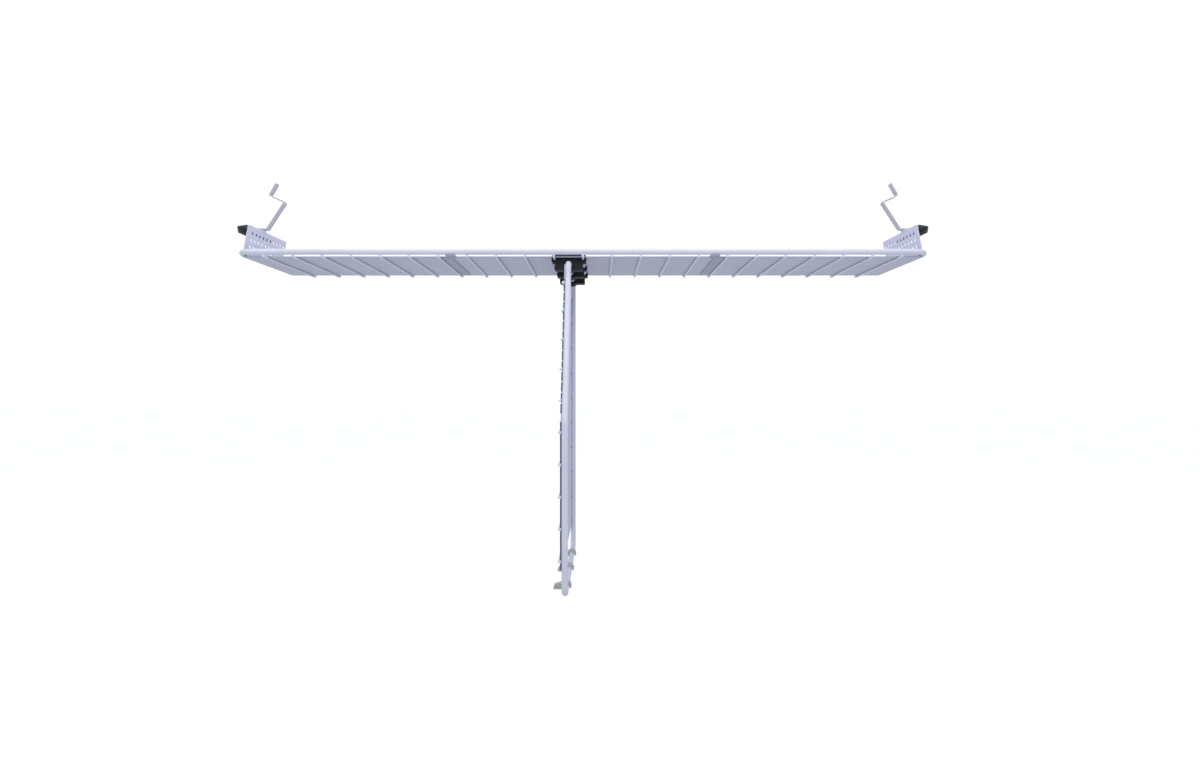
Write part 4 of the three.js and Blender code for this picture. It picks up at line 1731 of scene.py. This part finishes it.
@dataclass
class WingHook:
    """A snap-on hook on the wing's bottom tube, with a beak to the left.

    Attributes:
        place: Which hook.
        wall: Thickness round the tube.
        reach: Beak's tip from the tube's centre.
        drop: Beak's lower edge below the tube's centre.
        nose: Height of the beak's upper edge above its lower one, at the tip's chamfer.
        nose_cut: Length and height of that chamfer.
        tip_slant: How much further out the tip's lower corner is.
        heel: From the tube's centre to where the beak's lower edge meets the mouth.
        mouth: Where the ring opens, in degrees.
        shoulder: Where the beak leaves the ring's outside, in degrees.
        softness: Radii of the nose's two corners, the tip and the heel.
        bevel: Width of its worn edges.
    """

    place: Clip
    wall: float = 3 * MM
    reach: float = 20.8 * MM
    drop: float = 4.1 * MM
    nose: float = 6.5 * MM
    nose_cut: Point2 = (1.7 * MM, 2.2 * MM)
    tip_slant: float = 0.6 * MM
    heel: float = 4.2 * MM
    mouth: tuple[float, float] = (-138, -18)
    shoulder: float = 138
    softness: tuple[float, ...] = (1.4 * MM, 1.0 * MM, 0.7 * MM, 0.5 * MM)
    bevel: float = 0.5 * MM

    def build(self) -> None:
        """Makes the hook."""
        node = f"wing_hook_{self.place.value}"
        low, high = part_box(node)
        tube_low, tube_high = STOCK.tube_middle("wing_frame")
        centre = ((tube_low.x + tube_high.x) / 2, tube_low.z)
        inner = STOCK.tube + STOCK.gap
        start, end = self.mouth
        top = self.nose - self.drop
        slant = self.tip_slant - self.reach
        cut_length, cut_height = self.nose_cut
        outside = arc((0, 0), inner + self.wall, end, self.shoulder, 18)
        beak = [(slant + cut_length, top), (slant, top - cut_height), (-self.reach, -self.drop),
                (-self.heel, -self.drop)]
        inside = arc((0, 0), inner, start + 360, end, 26)
        corners = [(centre[0] + x, centre[1] + z) for x, z in outside + beak + inside]
        radii = [0.0] * len(outside) + list(self.softness) + [0.0] * len(inside)
        mesh = prism(rounded(corners, radii), [], Plane.XZ, low.y, high.y, self.bevel)
        settle(f"snap_hook_{self.place.value}", mesh, HOOK_PLASTIC, f"wing_hook_{self.place.value}", [node])


# ---------------------------------------------------------------- the studio


@dataclass(frozen=True)
class Lamp:
    """A soft rectangular light that the camera doesn't see.

    Attributes:
        name: Its name.
        at: Where it stands.
        aim: What it faces.
        size: Its width and height.
        watts: Its power.
        colour: Colour of its light.
    """

    name: str
    at: tuple[float, float, float]
    aim: tuple[float, float, float]
    size: Point2
    watts: float
    colour: Colour = (1.0, 0.99, 0.98)

    def build(self) -> None:
        """Adds the light to the scene."""
        data = bpy.data.lights.new(self.name, "AREA")
        data.shape = "RECTANGLE"
        data.size, data.size_y = self.size
        data.energy = self.watts
        data.color = self.colour
        lamp = bpy.data.objects.new(self.name, data)
        lamp.location = self.at
        aim = Vector(self.aim) - Vector(self.at)
        lamp.rotation_euler = aim.to_track_quat("-Z", "Y").to_euler()
        lamp.visible_camera = False
        bpy.context.scene.collection.objects.link(lamp)


@dataclass
class Studio:
    """The camera, the lights, the pale floor and the surround.

    Attributes:
        lens: Focal length in millimetres.
        sensor: Width of the camera's sensor in millimetres.
        distance: Camera to the rack's front tube.
        side: Camera's x.
        drop: Camera below the rack's tubes.
        floor: Height of the floor.
        floor_glow: Brightness added to the floor, so that it fades into the backdrop.
        floor_half: Half width of the floor.
        floor_paint: The floor's two tones.
        surround: Colour and strength of the light from all round.
        backdrop: Brightness of the plain backdrop.
        lamps: The lights above and in front.
    """

    lens: float = 18.24
    sensor: float = 36.0
    distance: float = 1.048
    side: float = 0.0296
    drop: float = 0.2383
    floor: float = -1.25
    floor_glow: float = 0.45
    floor_half: float = 40.0
    floor_paint: tuple[Colour, Colour] = ((0.93, 0.93, 0.94), (0.96, 0.96, 0.97))
    surround: tuple[Colour, float] = ((0.95, 0.97, 1.04), 0.60)
    backdrop: float = 1.1
    lamps: tuple[Lamp, ...] = (
        Lamp("key", (0, -0.95, 0.40), (0, -0.2, -0.05), (2.2, 0.4), 4.2),
        Lamp("top", (0, -0.3, 1.5), (0, -0.3, 0), (2.4, 1.0), 11),
    )

    def camera(self) -> None:
        """Places the camera level, square to the wall."""
        low, _ = STOCK.rack_middle()
        data = bpy.data.cameras.new("camera")
        data.sensor_width = self.sensor
        data.lens = self.lens
        data.clip_start, data.clip_end = 0.01, 100
        camera = bpy.data.objects.new("camera", data)
        camera.location = (self.side, low.y - self.distance, -self.drop)
        camera.rotation_euler = (math.radians(90), 0, 0)
        bpy.context.scene.collection.objects.link(camera)
        bpy.context.scene.camera = camera

    def world(self) -> None:
        """A white backdrop for the camera and a softer pale light for the object."""
        world = bpy.data.worlds.new("studio")
        bpy.context.scene.world = world
        world.use_nodes = True
        tree = world.node_tree
        tree.nodes.clear()
        light = tree.nodes.new("ShaderNodeBackground")
        colour, strength = self.surround
        light.inputs["Color"].default_value = (*colour, 1)
        light.inputs["Strength"].default_value = strength
        seen = tree.nodes.new("ShaderNodeBackground")
        seen.inputs["Color"].default_value = (1, 1, 1, 1)
        seen.inputs["Strength"].default_value = self.backdrop
        path = tree.nodes.new("ShaderNodeLightPath")
        mix = tree.nodes.new("ShaderNodeMixShader")
        out = tree.nodes.new("ShaderNodeOutputWorld")
        tree.links.new(path.outputs["Is Camera Ray"], mix.inputs["Fac"])
        tree.links.new(light.outputs["Background"], mix.inputs[1])
        tree.links.new(seen.outputs["Background"], mix.inputs[2])
        tree.links.new(mix.outputs["Shader"], out.inputs["Surface"])

    def ground(self) -> None:
        """A plain pale floor."""
        mesh = bmesh.new()
        bmesh.ops.create_grid(mesh, x_segments=1, y_segments=1, size=self.floor_half)
        data = bpy.data.meshes.new("floor")
        mesh.to_mesh(data)
        mesh.free()
        floor = bpy.data.objects.new("floor", data)
        floor.location = (0, 0, self.floor)
        bpy.context.scene.collection.objects.link(floor)
        graph = Graph("floor_paint")
        tone = graph.blend(graph.noise(0.6), *self.floor_paint)
        graph.link(tone, graph.shader.inputs["Base Color"])
        graph.shader.inputs["Roughness"].default_value = 0.9
        graph.shader.inputs["Emission Color"].default_value = (1, 1, 1, 1)
        graph.shader.inputs["Emission Strength"].default_value = self.floor_glow
        data.materials.append(graph.material)
        floor.visible_diffuse = False
        floor.visible_glossy = False

    def build(self) -> None:
        """Sets the whole studio."""
        self.camera()
        self.world()
        self.ground()
        for lamp in self.lamps:
            lamp.build()
        bpy.context.scene.view_settings.view_transform = "Standard"


# ---------------------------------------------------------------- build


def main() -> None:
    """Builds the studio and every sub-assembly."""
    logging.basicConfig(level=logging.INFO, format="%(name)s: %(message)s")
    Studio().build()
    RackFrame().build()
    ShelfSheet().build()
    RackRungs().build()
    for side in Side:
        CrossStrut(side).build()
        WallBracket(side).build()
        EndBracket(side).build()
        EdgeGrip(side).build()
        ZigzagStrap(side).build()
    for place in Clip:
        HingeClip(place).build()
    Wing().build()
    for place in Clip:
        WingHook(place).build()
    LOG.info("object complete")


if __name__ == "__main__":
    main()
